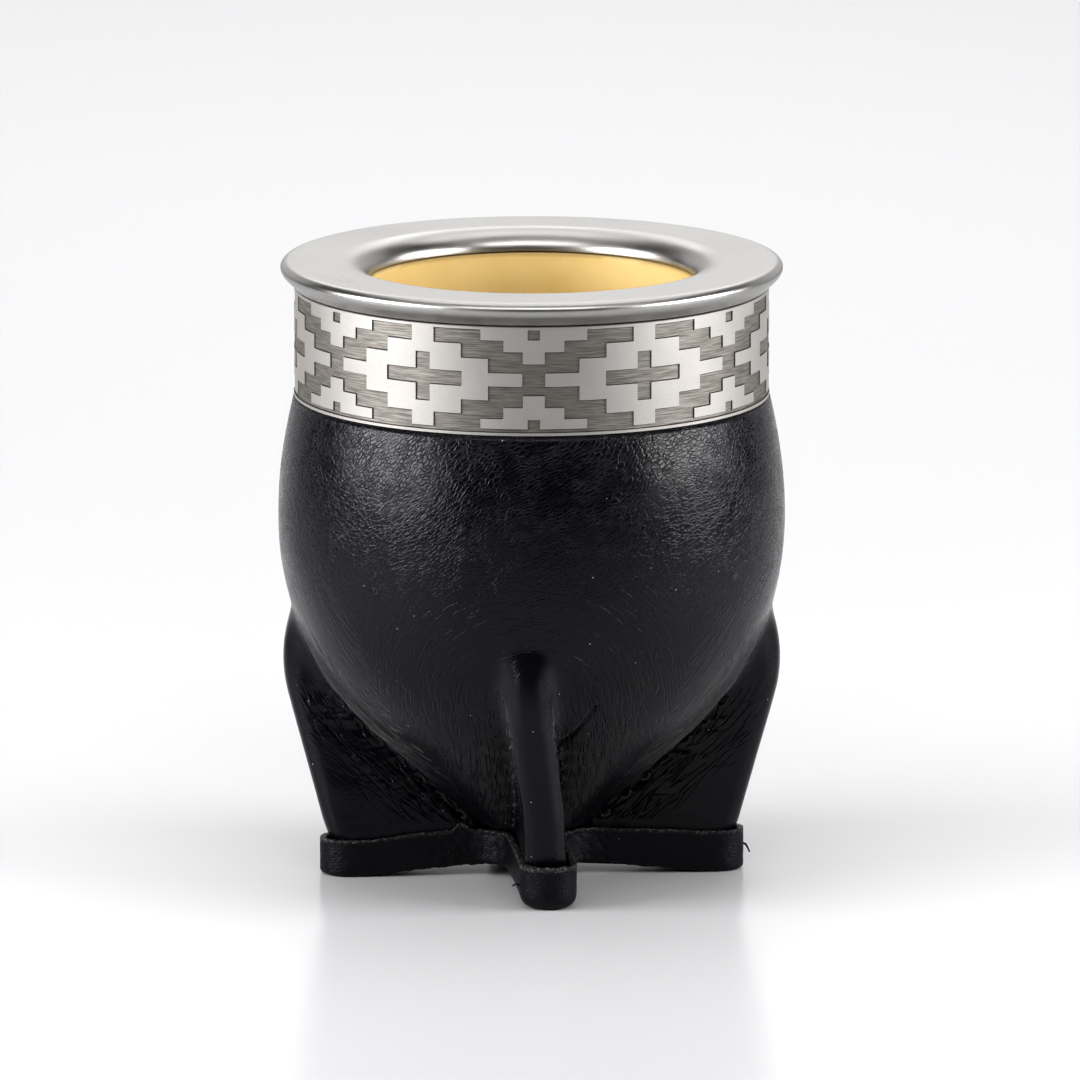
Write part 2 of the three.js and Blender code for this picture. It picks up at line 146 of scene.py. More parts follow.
# Foot band
FOOT_REACH = FOOT_HIGH.x
FOOT_HALF = 5.15
FOOT_FILLET = 7.0
FOOT_HEIGHT_END = 7.9
FOOT_HEIGHT_MIDDLE = 8.8
FOOT_ARCH = 3.4
FOOT_FLAT_FROM = 30.5
FOOT_ROUND = 0.9
TOE_ROUND = 2.4
FOOT_WALL = 1.32
RECESS_FLOOR = 5.2
TOE_SHIFT = (0.5, -0.7)
LEFT_DROP = 1.25
RIGHT_DROP = 0.4
TAB_HEIGHT = 1.3

# Gourd
GOURD_NECK = 39.0
GOURD_MOUTH = 29.45
GOURD_TOP = 110.1
GOURD_HALF = 47.5
HOLLOW_RADIUS = 36.0
HOLLOW_HALF = 43.0
HOLLOW_NECK = 96.0

# Loose ends of thread at the foot
THREAD_ENDS = {
    "thread_nub_front": ((-4.7, -33.0, 3.9), (-5.4, -33.2, 4.0), (-6.0, -33.3, 3.7)),
    "thread_nub_side": ((37.6, 0.6, 4.4), (38.6, 0.5, 4.0), (39.0, 0.3, 3.3), (39.3, 0.3, 2.6)),
}

# The photograph's camera, how far the cup is turned in it, and half the floor's width in metres
CAMERA_DISTANCE = 6000.0
CAMERA_HEIGHT = 1203.19
CAMERA_ASIDE = 1.495
CAMERA_PITCH = math.radians(10.785)
CUP_TURN = math.radians(4.24)
FOCAL_SHARE = 31.5368
SENSOR = 36.0
FLOOR_REACH = 3.0


# Shapes


def arc(middle_r, middle_z, half_r, half_z, start, end, steps):
    """Points (radius, height) along an ellipse's arc, angles in degrees from outwards."""
    angles = np.radians(np.linspace(start, end, steps + 1))
    return [(middle_r + half_r * math.cos(a), middle_z + half_z * math.sin(a)) for a in angles]


def bezier(a, b, c, d, steps):
    """Points along a cubic curve, without its first."""
    shares = np.linspace(0, 1, steps + 1)[1:]
    a, b, c, d = (np.array(p, float) for p in (a, b, c, d))
    return [
        tuple(a * (1 - t) ** 3 + 3 * b * t * (1 - t) ** 2 + 3 * c * t * t * (1 - t) + d * t**3)
        for t in shares
    ]


def smoothstep(x, low, high):
    """A smooth rise from 0 at low to 1 at high."""
    t = np.clip((x - low) / (high - low), 0, 1)
    return t * t * (3 - 2 * t)


def ring_faces(rows, count, wrap):
    """Quads through stacked rings of equal length, facing outwards on a rising outer wall."""
    k = np.arange(rows if wrap else rows - 1)
    i = np.arange(count)
    low = (k[:, None] * count) + i[None, :]
    low_next = (k[:, None] * count) + ((i + 1) % count)[None, :]
    up = ((k + 1) % rows)[:, None] * count
    high = up + i[None, :]
    high_next = up + ((i + 1) % count)[None, :]
    return np.stack([low, low_next, high_next, high], axis=-1).reshape(-1, 4).tolist()


def linked(name, data):
    """A new object in the scene."""
    made = bpy.data.objects.new(name, data)
    bpy.context.scene.collection.objects.link(made)
    return made


def piece_from_rings(name, rings, ends):
    """A closed mesh through rings (row, point, xyz) in millimetres."""
    # The ends are "wrap" for a tube that meets itself, or each "pole" or "face" by how it is closed.
    rows, count = rings.shape[:2]
    points = rings.reshape(-1, 3).tolist()
    faces = ring_faces(rows, count, ends == "wrap")
    if ends != "wrap":
        last = (rows - 1) * count
        if ends[0] == "pole":
            middle = len(points)
            points.append(rings[0].mean(axis=0).tolist())
            faces += [[middle, (i + 1) % count, i] for i in range(count)]
        else:
            faces.append(list(range(count))[::-1])
        if ends[1] == "pole":
            middle = len(points)
            points.append(rings[-1].mean(axis=0).tolist())
            faces += [[last + i, last + (i + 1) % count, middle] for i in range(count)]
        else:
            faces.append([last + i for i in range(count)])
    mesh = bpy.data.meshes.new(name)
    mesh.from_pydata([[c * MM for c in p] for p in points], [], faces)
    mesh.validate()
    mesh.shade_smooth()
    return linked(name, mesh)


def turned_rings(profile, segments):
    """Rings of a profile of (radius, height) points turned about the axis."""
    turn = np.arange(segments) * (2 * math.pi / segments)
    r, z = np.array(profile).T[:, :, None]
    return np.stack([r * np.cos(turn), r * np.sin(turn), np.broadcast_to(z, (len(r), segments))], axis=-1)


def point_value(made, name, values):
    """A named number at each vertex, for a material to read."""
    attribute = made.data.attributes.new(name, "FLOAT", "POINT")
    padded = np.zeros(len(made.data.vertices), np.float32)
    padded[: values.size] = values.ravel()
    attribute.data.foreach_set("value", padded)


def noise_at(points, size, seed):
    """Smooth noise from about -1 to 1 at points in millimetres, with lumps of a size."""
    shift = Vector((17.3 * seed, 5.1 * seed, 9.7 * seed))
    flat = (points.reshape(-1, points.shape[-1]) / size).tolist()
    values = [noise.noise(Vector(p) + shift) for p in flat]
    return np.array(values).reshape(points.shape[:-1])


def normals_of(rings):
    """Outward directions at each point of stacked rings."""
    along = np.roll(rings, -1, axis=1) - np.roll(rings, 1, axis=1)
    up = np.gradient(rings, axis=0)
    out = np.cross(along, up)
    length = np.linalg.norm(out, axis=-1, keepdims=True)
    return out / np.maximum(length, 1e-9)


# Mouth rim


def rim_profile():
    """The rim's closed outline of (radius, height) points."""
    throat_low = RIM_TOP - THROAT_DEPTH
    roll_width = ROLL_START - THROAT_RADIUS
    edge = RIM_TOP - EDGE_DROP
    under = RIM_TOP - SHEET
    flare_in = FLARE_RADIUS - SHEET
    seen = arc(ROLL_START, throat_low, roll_width, THROAT_DEPTH, 180, 90, 26)
    flat = [(r, RIM_TOP) for r in np.linspace(ROLL_START, EDGE_START, 9)[1:-1]]
    roll = arc(EDGE_START, edge, RIM_RADIUS - EDGE_START, EDGE_DROP, 90, 0, 14)
    flare = bezier(
        (RIM_RADIUS, edge),
        (RIM_RADIUS, edge - 1.1),
        (FLARE_RADIUS + 0.9, FLARE_BOTTOM + 1.1),
        (FLARE_RADIUS, FLARE_BOTTOM),
        14,
    )
    hem = [(FLARE_RADIUS - 0.2, FLARE_BOTTOM), (flare_in, FLARE_BOTTOM)]
    hidden = bezier(
        (flare_in, FLARE_BOTTOM),
        (FLARE_RADIUS, FLARE_BOTTOM + 1.2),
        (FLARE_RADIUS + 0.5, under - 0.3),
        (EDGE_START - 0.3, under),
        8,
    )
    back = [(r, under) for r in np.linspace(EDGE_START - 0.3, ROLL_START, 5)[1:-1]]
    inner = arc(ROLL_START, throat_low, roll_width - SHEET, THROAT_DEPTH - SHEET, 90, 180, 14)
    profile = seen + flat + roll + flare + hem + hidden + back + inner
    return profile[::-1]


# Collar

TIER_COUNT = 7
CROSS_TIERS = ((3.0, 0, 7), (10.0, 1, 6), (16.7, 2, 5), (25.0, 3, 4))
CROSS_CUTS = ((1.8, 1.8, 5.2), (10.0, 3, 4))
HALF_TIERS = ((13.0, 0, 0.75), (7.4, 0, 1.55), (2.7, 0, 2.4))
HALF_CUTS = ((1.4, 0, 0.65),)
PITCH = 360.0 / PATTERN_HALF_REPEATS
LAST_MOTIF = (PATTERN_HALF_REPEATS - 1) // 2


def upside_down(cells):
    """The same cells of the pattern, hanging from its upper edge."""
    return tuple((half, TIER_COUNT - high, TIER_COUNT - low) for half, low, high in cells)


def covers(cells, offset, tier):
    """Whether any cell (half width, low, high) holds an angle and a height in tiers."""
    held = np.zeros(np.broadcast(offset, tier).shape, bool)
    for half, low, high in cells:
        held |= (np.abs(offset) < half) & (tier > low) & (tier < high)
    return held


def raised(angle, tier):
    """Whether the pattern stands proud at angles from its middle and heights in tiers."""
    proud = np.zeros(np.broadcast(angle, tier).shape, bool)
    for place in range(-LAST_MOTIF, LAST_MOTIF + 1):
        offset = angle - place * PITCH
        if place % 2:
            proud |= covers(CROSS_TIERS, offset, tier) & ~covers(CROSS_CUTS, offset, tier)
        else:
            for flip in (tuple, upside_down):
                cuts = covers(flip(HALF_CUTS), offset, tier)
                proud |= covers(flip(HALF_TIERS), offset, tier) & ~cuts
    return proud


def stops(edges, slack, widest, low, high):
    """Sorted places: two beside each edge, and more so that no step is wider than widest."""
    near = sorted({round(e + s, 5) for e in edges for s in (-slack, slack) if low < e + s < high})
    near = [low] + near + [high]
    made = []
    for a, b in zip(near, near[1:]):
        made += list(np.linspace(a, b, max(1, math.ceil((b - a) / widest)) + 1)[:-1])
    return np.array(made + [high])


def collar_rings():
    """Rings of the collar, and whether each point stands proud."""
    turn_edges = []
    for place in range(-LAST_MOTIF, LAST_MOTIF + 1):
        cells = CROSS_TIERS + CROSS_CUTS if place % 2 else HALF_TIERS + HALF_CUTS
        for half, _, _ in cells:
            turn_edges += [place * PITCH - half, place * PITCH + half]
    slack = math.degrees(STEP_WIDTH / RAISED_RADIUS) / 2
    angles = stops(turn_edges, slack, 1.1, -180.0, 180.0)[:-1]
    every = CROSS_TIERS + CROSS_CUTS + HALF_TIERS + HALF_CUTS
    tier_mm = (PATTERN_HIGH - PATTERN_LOW) / TIER_COUNT
    tiers = sorted({t for cell in every + upside_down(every) for t in cell[1:]})
    edges = [BEAD_TOP, *(PATTERN_LOW + t * tier_mm for t in tiers)]
    low, high = COLLAR_LOW.z, COLLAR_HIGH.z
    heights = stops(edges, STEP_WIDTH / 2, 0.8, low + RING_CHAMFER, high - RING_CHAMFER)
    tier = (heights - PATTERN_LOW) / tier_mm
    proud = raised(angles[None, :], tier[:, None])
    proud |= (heights[:, None] < BEAD_TOP) | (heights[:, None] > PATTERN_HIGH)
    radius = np.where(proud, RAISED_RADIUS, FIELD_RADIUS)
    bead = np.exp(-(((heights - low - 0.38) / 0.26) ** 2))
    radius = radius + BEAD_HEIGHT * bead[:, None]
    rows = [(low, RAISED_RADIUS - RING_CHAMFER)]
    rows += [(z, None) for z in heights]
    rows += [(high, RAISED_RADIUS - RING_CHAMFER), (high, COLLAR_INSIDE), (low, COLLAR_INSIDE)]
    turn = np.radians(angles + PATTERN_MIDDLE)
    rings = np.zeros((len(rows), len(angles), 3))
    flags = np.ones((len(rows), len(angles)))
    for k, (z, r) in enumerate(rows):
        out = radius[k - 1] if r is None else r
        rings[k, :, 0] = out * np.cos(turn)
        rings[k, :, 1] = out * np.sin(turn)
        rings[k, :, 2] = z
        if r is None:
            flags[k] = proud[k - 1]
    return rings, flags


# Leather cover


def belly_radius(z):
    """The belly's radius at heights: a cone below, an ellipse, and a slow curve above."""
    z = np.asarray(z, float)
    below = BELLY_RADIUS * np.sqrt(
        np.clip(1 - ((BELLY_HEIGHT - np.maximum(z, CONE_TOP)) / LOWER_HALF) ** 2, 0, 1)
    )
    cone = below - CONE_SLOPE * np.maximum(CONE_TOP - z, 0)
    above = BELLY_RADIUS - (z - BELLY_HEIGHT) ** 2 / (2 * UPPER_CURVE)
    return np.where(z >= BELLY_HEIGHT, above, cone)


def fin_reach(z):
    """How far out a fin's ridge lies at heights."""
    straight_below = FIN_PEAK_HEIGHT - FIN_SLOPE / (2 * FIN_CURVE)
    bulge = FIN_PEAK_RADIUS - FIN_CURVE * (np.maximum(z, straight_below) - FIN_PEAK_HEIGHT) ** 2
    tuck = 0.02 * np.maximum(FIN_TUCK_FROM - z, 0) ** 2
    return bulge - FIN_SLOPE * np.maximum(straight_below - z, 0) - tuck


def fin_half(z):
    """Half a fin's thickness at heights."""
    rise = np.clip((np.asarray(z) - 8) / 30, 0, 1)
    return FIN_HALF_BOTTOM + (FIN_HALF_TOP - FIN_HALF_BOTTOM) * rise


def fin_twist(z):
    """How far a fin is turned round the cup at heights, in radians."""
    return math.radians(FIN_TWIST) * smoothstep(np.asarray(z), TWIST_FROM, TWIST_TO)


def fin_blend(z):
    """How widely a fin flows into the belly at heights."""
    return FIN_BLEND_LOW + (FIN_BLEND_HIGH - FIN_BLEND_LOW) * smoothstep(z, BLEND_FROM, BLEND_TO)


def cover_radius(ray, z):
    """The cover's radius at angles from a fin's middle: belly and fin, smoothly joined."""
    belly = belly_radius(z)
    blend = fin_blend(z)
    half = fin_half(z)
    over = fin_reach(z) - belly
    proud = (over + np.sqrt(over * over + FIN_SOFT_TOP**2)) / 2
    reach = np.where(proud < blend, belly + 2 * np.sqrt(blend * proud) - blend, belly + proud)
    tip = reach - half
    low = np.zeros(np.broadcast(ray, z).shape)
    high = np.full(low.shape, 80.0)
    for _ in range(36):
        r = (low + high) / 2
        u, v = r * np.cos(ray), r * np.sin(ray)
        fin = np.hypot(u - np.clip(u, 0, tip), v) - half
        body = r - belly
        mix = np.maximum(blend - np.abs(fin - body), 0) / blend
        inside = np.minimum(fin, body) - mix * mix * blend / 4 < 0
        low = np.where(inside, r, low)
        high = np.where(inside, high, r)
    return (low + high) / 2


def cross_radius(angle, inset):
    """The radius of the foot's cross outline at angles, moved inwards by an inset."""
    half = FOOT_HALF - inset
    fillet = FOOT_FILLET + inset
    end = FOOT_REACH - FOOT_HALF
    low = np.zeros(np.shape(angle))
    high = np.full(low.shape, 80.0)
    for _ in range(36):
        r = (low + high) / 2
        x, y = r * np.cos(angle), r * np.sin(angle)
        a = np.hypot(x - np.clip(x, -end, end), y) - half
        b = np.hypot(y - np.clip(y, -end, end), x) - half
        near = np.hypot(np.maximum(fillet - a, 0), np.maximum(fillet - b, 0))
        inside = np.maximum(fillet, np.minimum(a, b)) - near < 0
        low = np.where(inside, r, low)
        high = np.where(inside, high, r)
    return (low + high) / 2


def gourd_outside(clearance, top):
    """The gourd's outer profile, grown by a clearance, from its lowest point up."""
    widest = BELLY_RADIUS - LEATHER - GAP
    steps = np.radians(np.linspace(4, 90, 22))
    lower = [
        (widest * math.sin(a) + clearance, BELLY_HEIGHT - (GOURD_HALF + clearance) * math.cos(a))
        for a in steps
    ]
    upper = [
        (widest - (z - BELLY_HEIGHT) ** 2 / (2 * UPPER_CURVE) + clearance, z)
        for z in np.linspace(BELLY_HEIGHT, 84, 8)[1:]
    ]
    neck = [(GOURD_NECK + clearance, 87.5), (GOURD_NECK + clearance, top)]
    return lower + upper + neck


def seam_place(u, z):
    """How far along the fin's seam a point of its side lies, and how far outside it."""
    step = 0.05
    heights = np.arange(SEAM_LOW - 2, SEAM_HIGH + 18, step)
    run = np.gradient(belly_radius(heights), step)
    length = np.concatenate([[0], np.cumsum(np.hypot(1, run[:-1]) * step)])
    here = np.interp(z, heights, length)
    slope = np.interp(z, heights, run)
    norm = np.hypot(1, slope)
    outside = u - belly_radius(z)
    return here + outside * slope / norm, outside / norm


def crease_distance(points):
    """Distance of points from the long crease beside the front fin, over the surface."""
    turn = np.arctan2(points[..., 0], -points[..., 1])
    place = np.stack([35.0 * turn, points[..., 2]], axis=-1)
    start, end = np.array(CREASE_START), np.array(CREASE_END)
    line = end - start
    along = np.clip((place - start) @ line / (line @ line), 0, 1)
    bow = CREASE_BOW * np.sin(math.pi * along)
    nearest = start + along[..., None] * line + bow[..., None] * np.array([0.84, -0.54])
    return np.linalg.norm(place - nearest, axis=-1)


def cover_angles():
    """Ray angles of one quarter from a fin's middle, close together on the fin's sides."""
    nose = np.linspace(0, 5.2, 8)
    side = np.linspace(5.2, 19, 31)[1:]
    body = np.linspace(19, 45, 24)[1:]
    half = np.concatenate([nose, side, body])
    return np.concatenate([-half[1:-1][::-1], half])


def cover_heights():
    """Heights of the cover's rings outside the foot and the collar."""
    low = np.arange(COVER_BOTTOM, 50, 0.42)
    high = np.linspace(50, COLLAR_LOW.z - GAP, 62)
    return np.concatenate([low, high])


def seam_relief(along, off, side, on_fin, window):
    """How far a seam's groove, its lumps between stitches and its folds push the leather out."""
    beat = np.abs(np.sin(math.pi * along / STITCH_PITCH))
    groove = np.exp(-((off / GROOVE_WIDTH) ** 2)) * window * (0.5 + 0.5 * beat)
    lumps = on_fin * np.exp(-((off / 1.8) ** 2)) * (beat - 0.55)
    wander = noise_at(np.stack([along / 4.2, off, side], axis=-1), 3.2, 1)
    folds = np.stack([along / 7.0 + wander, off + wander, side], axis=-1)
    fold = np.clip(1 - np.abs(noise_at(folds, 1.3, 2)) * 3.4, 0, 1)
    reach = np.exp(-(((off - 2.6) / 3.6) ** 2)) * on_fin
    return LUMP_HEIGHT * lumps - GROOVE_DEPTH * groove - FOLD_HEIGHT * reach * fold


def cover_rings():
    """Rings of the cover, and the values by point that its leather reads."""
    quarter = cover_angles()
    rays = np.tile(quarter, FIN_COUNT)
    fins = np.repeat(np.arange(FIN_COUNT), len(quarter))
    middles = fins * (2 * math.pi / FIN_COUNT)
    ray = np.radians(rays)
    z = cover_heights()
    radius = cover_radius(ray[None, :], z[:, None])
    angle = middles[None, :] + ray[None, :] + fin_twist(z)[:, None]
    tall = np.broadcast_to(z[:, None], radius.shape)
    shell = np.stack([radius * np.cos(angle), radius * np.sin(angle), tall], axis=-1)
    u = radius * np.cos(ray)[None, :]
    v = radius * np.sin(ray)[None, :]
    along, off = seam_place(u, tall)
    side = np.sign(v) * 3 + fins[None, :] * 7
    upper_fade = 1 - smoothstep(tall, SEAM_HIGH - 6, SEAM_HIGH + 3)
    window = smoothstep(tall, SEAM_LOW - 1, SEAM_LOW + 1) * upper_fade
    flank = smoothstep(np.abs(v) / fin_half(tall), 0.78, 0.97)
    on_fin = smoothstep(off, -0.4, 0.5) * window * flank
    push = seam_relief(along, off, side, on_fin, window)
    push = push + SWELL_HEIGHT * noise_at(shell, 11.0, 3)
    push = push + DENT_HEIGHT * on_fin * noise_at(shell, 5.0, 4)
    push = push - CREASE_DEPTH * np.exp(-((crease_distance(shell) / CREASE_WIDTH) ** 2))
    calm = smoothstep(COLLAR_LOW.z - tall, 0, 3) * smoothstep(tall, COVER_BOTTOM, COVER_BOTTOM + 1.5)
    shell = shell + normals_of(shell) * (push * calm)[..., None]
    # The part inside the foot, and the tuck under the collar
    turn = middles + ray
    plug = FOOT_WALL + GAP + 0.05

    def level(r, height):
        r = np.broadcast_to(r, turn.shape)
        height = np.broadcast_to(height, turn.shape)
        return np.stack([r * np.cos(turn), r * np.sin(turn), height], axis=-1)

    inside_foot = cross_radius(turn, FOOT_WALL + 0.12)
    low_rings = [level(cross_radius(turn, plug), RECESS_FLOOR + GAP)]
    on_nose = np.abs(ray) < math.radians(7.5)
    between = smoothstep(np.abs(ray), math.radians(8), math.radians(14))
    for height in (RECESS_FLOOR + 1.2, 7.1, 7.9, 8.6 + 0.38 * between):
        own = cover_radius(ray, height)
        low_rings.append(level(np.where(on_nose, own, np.minimum(inside_foot, own)), height))
    shoulder = COLLAR_LOW.z - GAP
    top_rings = [
        level(belly_radius(shoulder) - 0.45, shoulder + 0.05),
        level(NECK_OUTSIDE, shoulder + 0.15),
        level(NECK_OUTSIDE, NECK_TOP),
    ]
    inner = [level(r, height) for r, height in reversed(gourd_outside(GAP, NECK_TOP - 0.001))]
    rings = np.concatenate([np.stack(low_rings), shell, np.stack(top_rings + inner)])
    values = {}
    wide_reach = np.exp(-(((off - 3.0) / 4.5) ** 2)) * on_fin
    over_fin = np.maximum(tall - FIN_TOP, 0)
    around = np.hypot(v, over_fin)
    past = np.minimum(tall - FIN_TOP, 0) + around * np.arctan2(over_fin, np.abs(v) + 0.01)
    fields = {
        "pucker": wide_reach,
        "seam_along": along + 40 * side,
        "seam_off": off,
        "around_fin": around,
        "past_fin": past,
    }
    for name, field in fields.items():
        values[name] = np.zeros(rings.shape[:2])
        values[name][len(low_rings) : len(low_rings) + len(z)] = field
    return rings, values


def gourd_rings():
    """Rings of the calabash: its outside, its lip, and its hollow from the mouth down."""
    throat_low = RIM_TOP - THROAT_DEPTH - GAP
    outer = gourd_outside(0.0, GOURD_TOP - 0.6)
    lip = [(GOURD_NECK - 0.6, GOURD_TOP), (ROLL_START + 0.2, GOURD_TOP)]
    under_roll = bezier(
        lip[-1], (32.4, 109.8), (31.0, 109.4), (THROAT_RADIUS + SHEET + GAP, throat_low), 8
    )
    mouth = [(GOURD_MOUTH + 0.25, throat_low), (GOURD_MOUTH, throat_low - 0.25)]
    wall = [(GOURD_MOUTH, z) for z in np.linspace(throat_low - 1, HOLLOW_NECK, 12)]
    shoulder = bezier(
        wall[-1], (GOURD_MOUTH, 86), (HOLLOW_RADIUS, 78), (HOLLOW_RADIUS, BELLY_HEIGHT), 16
    )
    bowl = arc(0, BELLY_HEIGHT, HOLLOW_RADIUS, HOLLOW_HALF, -3, -87, 24)
    rings = turned_rings(outer + lip + under_roll + mouth + wall + shoulder + bowl, 160)
    first_wall = len(outer) + len(lip) + len(under_roll) + len(mouth)
    uneven = noise_at(rings[first_wall:], 9.0, 5) * 0.12
    rings[first_wall:] += normals_of(rings)[first_wall:] * (uneven - 0.1)[..., None]
    return rings


# Foot band


def arch_height(r):
    """The underside's height: raised in the middle, on the floor at the four ends."""
    return FOOT_ARCH * np.clip(1 - r / FOOT_FLAT_FROM, 0, 1)


def band_height(x, y):
    """The band's upper edge: lower at the left end, with a lifted tab near the middle."""
    out = np.clip(np.hypot(x, y) / FOOT_FLAT_FROM, 0, 1)
    height = FOOT_HEIGHT_MIDDLE + (FOOT_HEIGHT_END - FOOT_HEIGHT_MIDDLE) * out
    side_arm = np.abs(y) < 8
    left_arm = side_arm & (x < -6)
    height = height - np.where(left_arm, LEFT_DROP * smoothstep(-x, 15.0, 34.0), 0)
    height = height - np.where(side_arm & (x > 6), RIGHT_DROP * smoothstep(x, 20.0, 36.0), 0)
    tab = smoothstep(x, -14.8, -13.2) * (1 - smoothstep(x, -12.9, -10.8))
    return height + np.where(left_arm & (y < 0), TAB_HEIGHT * tab, 0)


def outline(inset):
    """The cross outline as a ring of (x, y) points, evenly and closely spaced."""
    half = FOOT_HALF - inset
    fillet = FOOT_FILLET + inset
    corner = half + fillet
    end = FOOT_REACH - FOOT_HALF
    straight = np.linspace(corner, end, 52)
    tip = np.radians(np.linspace(-90, 90, 31))
    bend = np.radians(np.linspace(-90, -180, 25))
    arm = [(x, -half) for x in straight[:-1]]
    arm += [(end + half * math.cos(a), half * math.sin(a)) for a in tip]
    arm += [(x, half) for x in straight[::-1][1:]]
    arm += [(corner + fillet * math.cos(a), corner + fillet * math.sin(a)) for a in bend[1:-1]]
    ring = []
    for quarter in range(FIN_COUNT):
        c, s = math.cos(quarter * math.pi / 2), math.sin(quarter * math.pi / 2)
        ring += [(x * c - y * s, x * s + y * c) for x, y in arm]
    return np.array(ring)


def foot_rings():
    """Rings of the foot band, and how far each point belongs to its cut edge."""
    # They run from the underside up the outer wall, over the edge and down into the recess.
    edge_line = outline(0.0)
    inwards = outline(1.0) - edge_line
    radius = np.hypot(edge_line[:, 0], edge_line[:, 1])
    toe = smoothstep(-edge_line[:, 1], 12.0, 28.0)
    rounding = FOOT_ROUND + (TOE_ROUND - FOOT_ROUND) * toe
    edge_line = edge_line + toe[:, None] * np.array(TOE_SHIFT)
    high = band_height(edge_line[:, 0], edge_line[:, 1])

    def moved(inset):
        return edge_line + inwards * np.broadcast_to(inset, radius.shape)[:, None]

    def ring(inset, heights):
        return np.column_stack([moved(inset), np.broadcast_to(heights, radius.shape)])

    def under(inset, lift):
        return ring(inset, arch_height(np.hypot(*moved(inset).T)) + lift)

    rows = [under(inset, 0.0) for inset in (5.05, 4.4, 3.6, 2.8)]
    for a in np.radians(np.linspace(0, 90, 9)):
        rows.append(under(rounding * (1 - math.sin(a)), rounding * (1 - math.cos(a))))
    low = arch_height(radius) + rounding
    for rise in np.linspace(0, 1, 20)[1:]:
        rows.append(ring(0.0, low + (high - 0.22 - low) * rise))
    cut_from = len(rows) - 1
    rows += [ring(0.06, high - 0.06), ring(0.22, high), ring(0.45, high + 0.02)]
    rows += [ring(0.75, high), ring(FOOT_WALL - 0.2, high - 0.02)]
    rows += [ring(FOOT_WALL - 0.03, high - 0.2)]
    cut_to = len(rows)
    rows += [ring(FOOT_WALL, high - 0.7)]
    rows += [ring(inset, RECESS_FLOOR) for inset in (FOOT_WALL, 2.6, 4.0, 5.05)]
    rings = np.stack(rows)
    first, last = 4, len(rows) - 4
    body = rings[first:last]
    out = normals_of(rings)[first:last]
    squeezed = body @ np.array([[1.0, 0.0, 0.0], [0.0, 1.0, 0.0], [0.35, 0.35, 0.35]])
    corner = np.exp(-(((radius - 12.0) / 4.0) ** 2))[None, :]
    wrinkle = 1 - 2.2 * np.abs(noise_at(squeezed, 1.3, 6))
    dents = noise_at(body, 6.0, 7)
    rough = noise_at(body, 0.7, 8)
    low_side = 1 - smoothstep(body[..., 2] - arch_height(radius)[None, :], 0.0, 1.4)
    top_side = smoothstep(body[..., 2] - high[None, :], -0.9, -0.1)
    push = (0.05 + 0.16 * corner) * np.clip(wrinkle, -1, 1) + 0.12 * dents - 0.1
    push = push + (0.05 + 0.12 * toe[None, :]) * top_side * rough
    rings[first:last] = body + out * push[..., None]
    plan = body * np.array([1.0, 1.0, 0.0])
    rings[first:last, :, 2] += (0.16 + 0.12 * toe[None, :]) * top_side * noise_at(plan, 0.9, 9)
    arched = (1 - smoothstep(radius, 26.0, 30.0))[None, :]
    rings[first:last, :, 2] += 0.2 * low_side * arched * noise_at(plan, 0.7, 10)
    rings[..., 2] = np.maximum(rings[..., 2], 0.0)
    cut = np.zeros(rings.shape[:2])
    cut[cut_from:cut_to] = 1.0
    cut[cut_from - 1] = 0.35 + 0.65 * toe
    cut[cut_from - 2] = 0.8 * toe
    return rings, cut


# Node trees

# The span where smooth noise mostly lies, and the fixed colours of small things
NOISE_LOW = 0.3
NOISE_HIGH = 0.7
DUST_COLOUR = (0.36, 0.35, 0.34, 1.0)
# Painted highlight for the foot band's cut edge
CUT_EDGE_HIGHLIGHT_COLOUR = (0.17, 0.165, 0.16, 1.0)
# Painted shade for the steps of the collar's pattern
STEP_SHADE_COLOUR = (0.05, 0.045, 0.04, 1.0)
JOINT_COLOUR = (0.20, 0.13, 0.055, 1.0)
THREAD_SHINE = (0.03, 0.03, 0.032, 1.0)

# How glossy each leather is, and how much of its net of creases is left low down
COVER_GLOSS = 0.42
COVER_LOW_NET = 0.25
FOOT_GLOSS = 0.33
FOOT_LOW_NET = 0.9
FOOT_DULLER = 0.16


def tone(colour, by=1.0):
    """A colour of the settings, made darker or lighter, for a socket."""
    return [c * by for c in colour] + [1.0]


class Web:
    """A node tree being built, with short words for the nodes that it uses most."""

    def __init__(self, tree):
        self.tree = tree

    def feed(self, node, values):
        """Links each value that is a socket to its input, and sets any other."""
        for key, value in values.items():
            if isinstance(value, bpy.types.NodeSocket):
                self.tree.links.new(value, node.inputs[key])
            else:
                node.inputs[key].default_value = value

    def add(self, kind, values=None, **settings):
        made = self.tree.nodes.new(kind)
        for key, value in settings.items():
            setattr(made, key, value)
        self.feed(made, values or {})
        return made

    def out(self, kind, values=None, **settings):
        """The first output of a new node."""
        return self.add(kind, values, **settings).outputs[0]

    def calc(self, operation, a, b=0.0):
        return self.out("ShaderNodeMath", {0: a, 1: b}, operation=operation)

    def times(self, a, b):
        return self.calc("MULTIPLY", a, b)

    def plus(self, a, b):
        return self.calc("ADD", a, b)

    def minus(self, a, b):
        return self.calc("SUBTRACT", a, b)

    def vector(self, operation, a, b):
        key = 3 if operation == "SCALE" else 1
        return self.out("ShaderNodeVectorMath", {0: a, key: b}, operation=operation)

    def joined(self, x=0.0, y=0.0, z=0.0):
        return self.out("ShaderNodeCombineXYZ", {0: x, 1: y, 2: z})


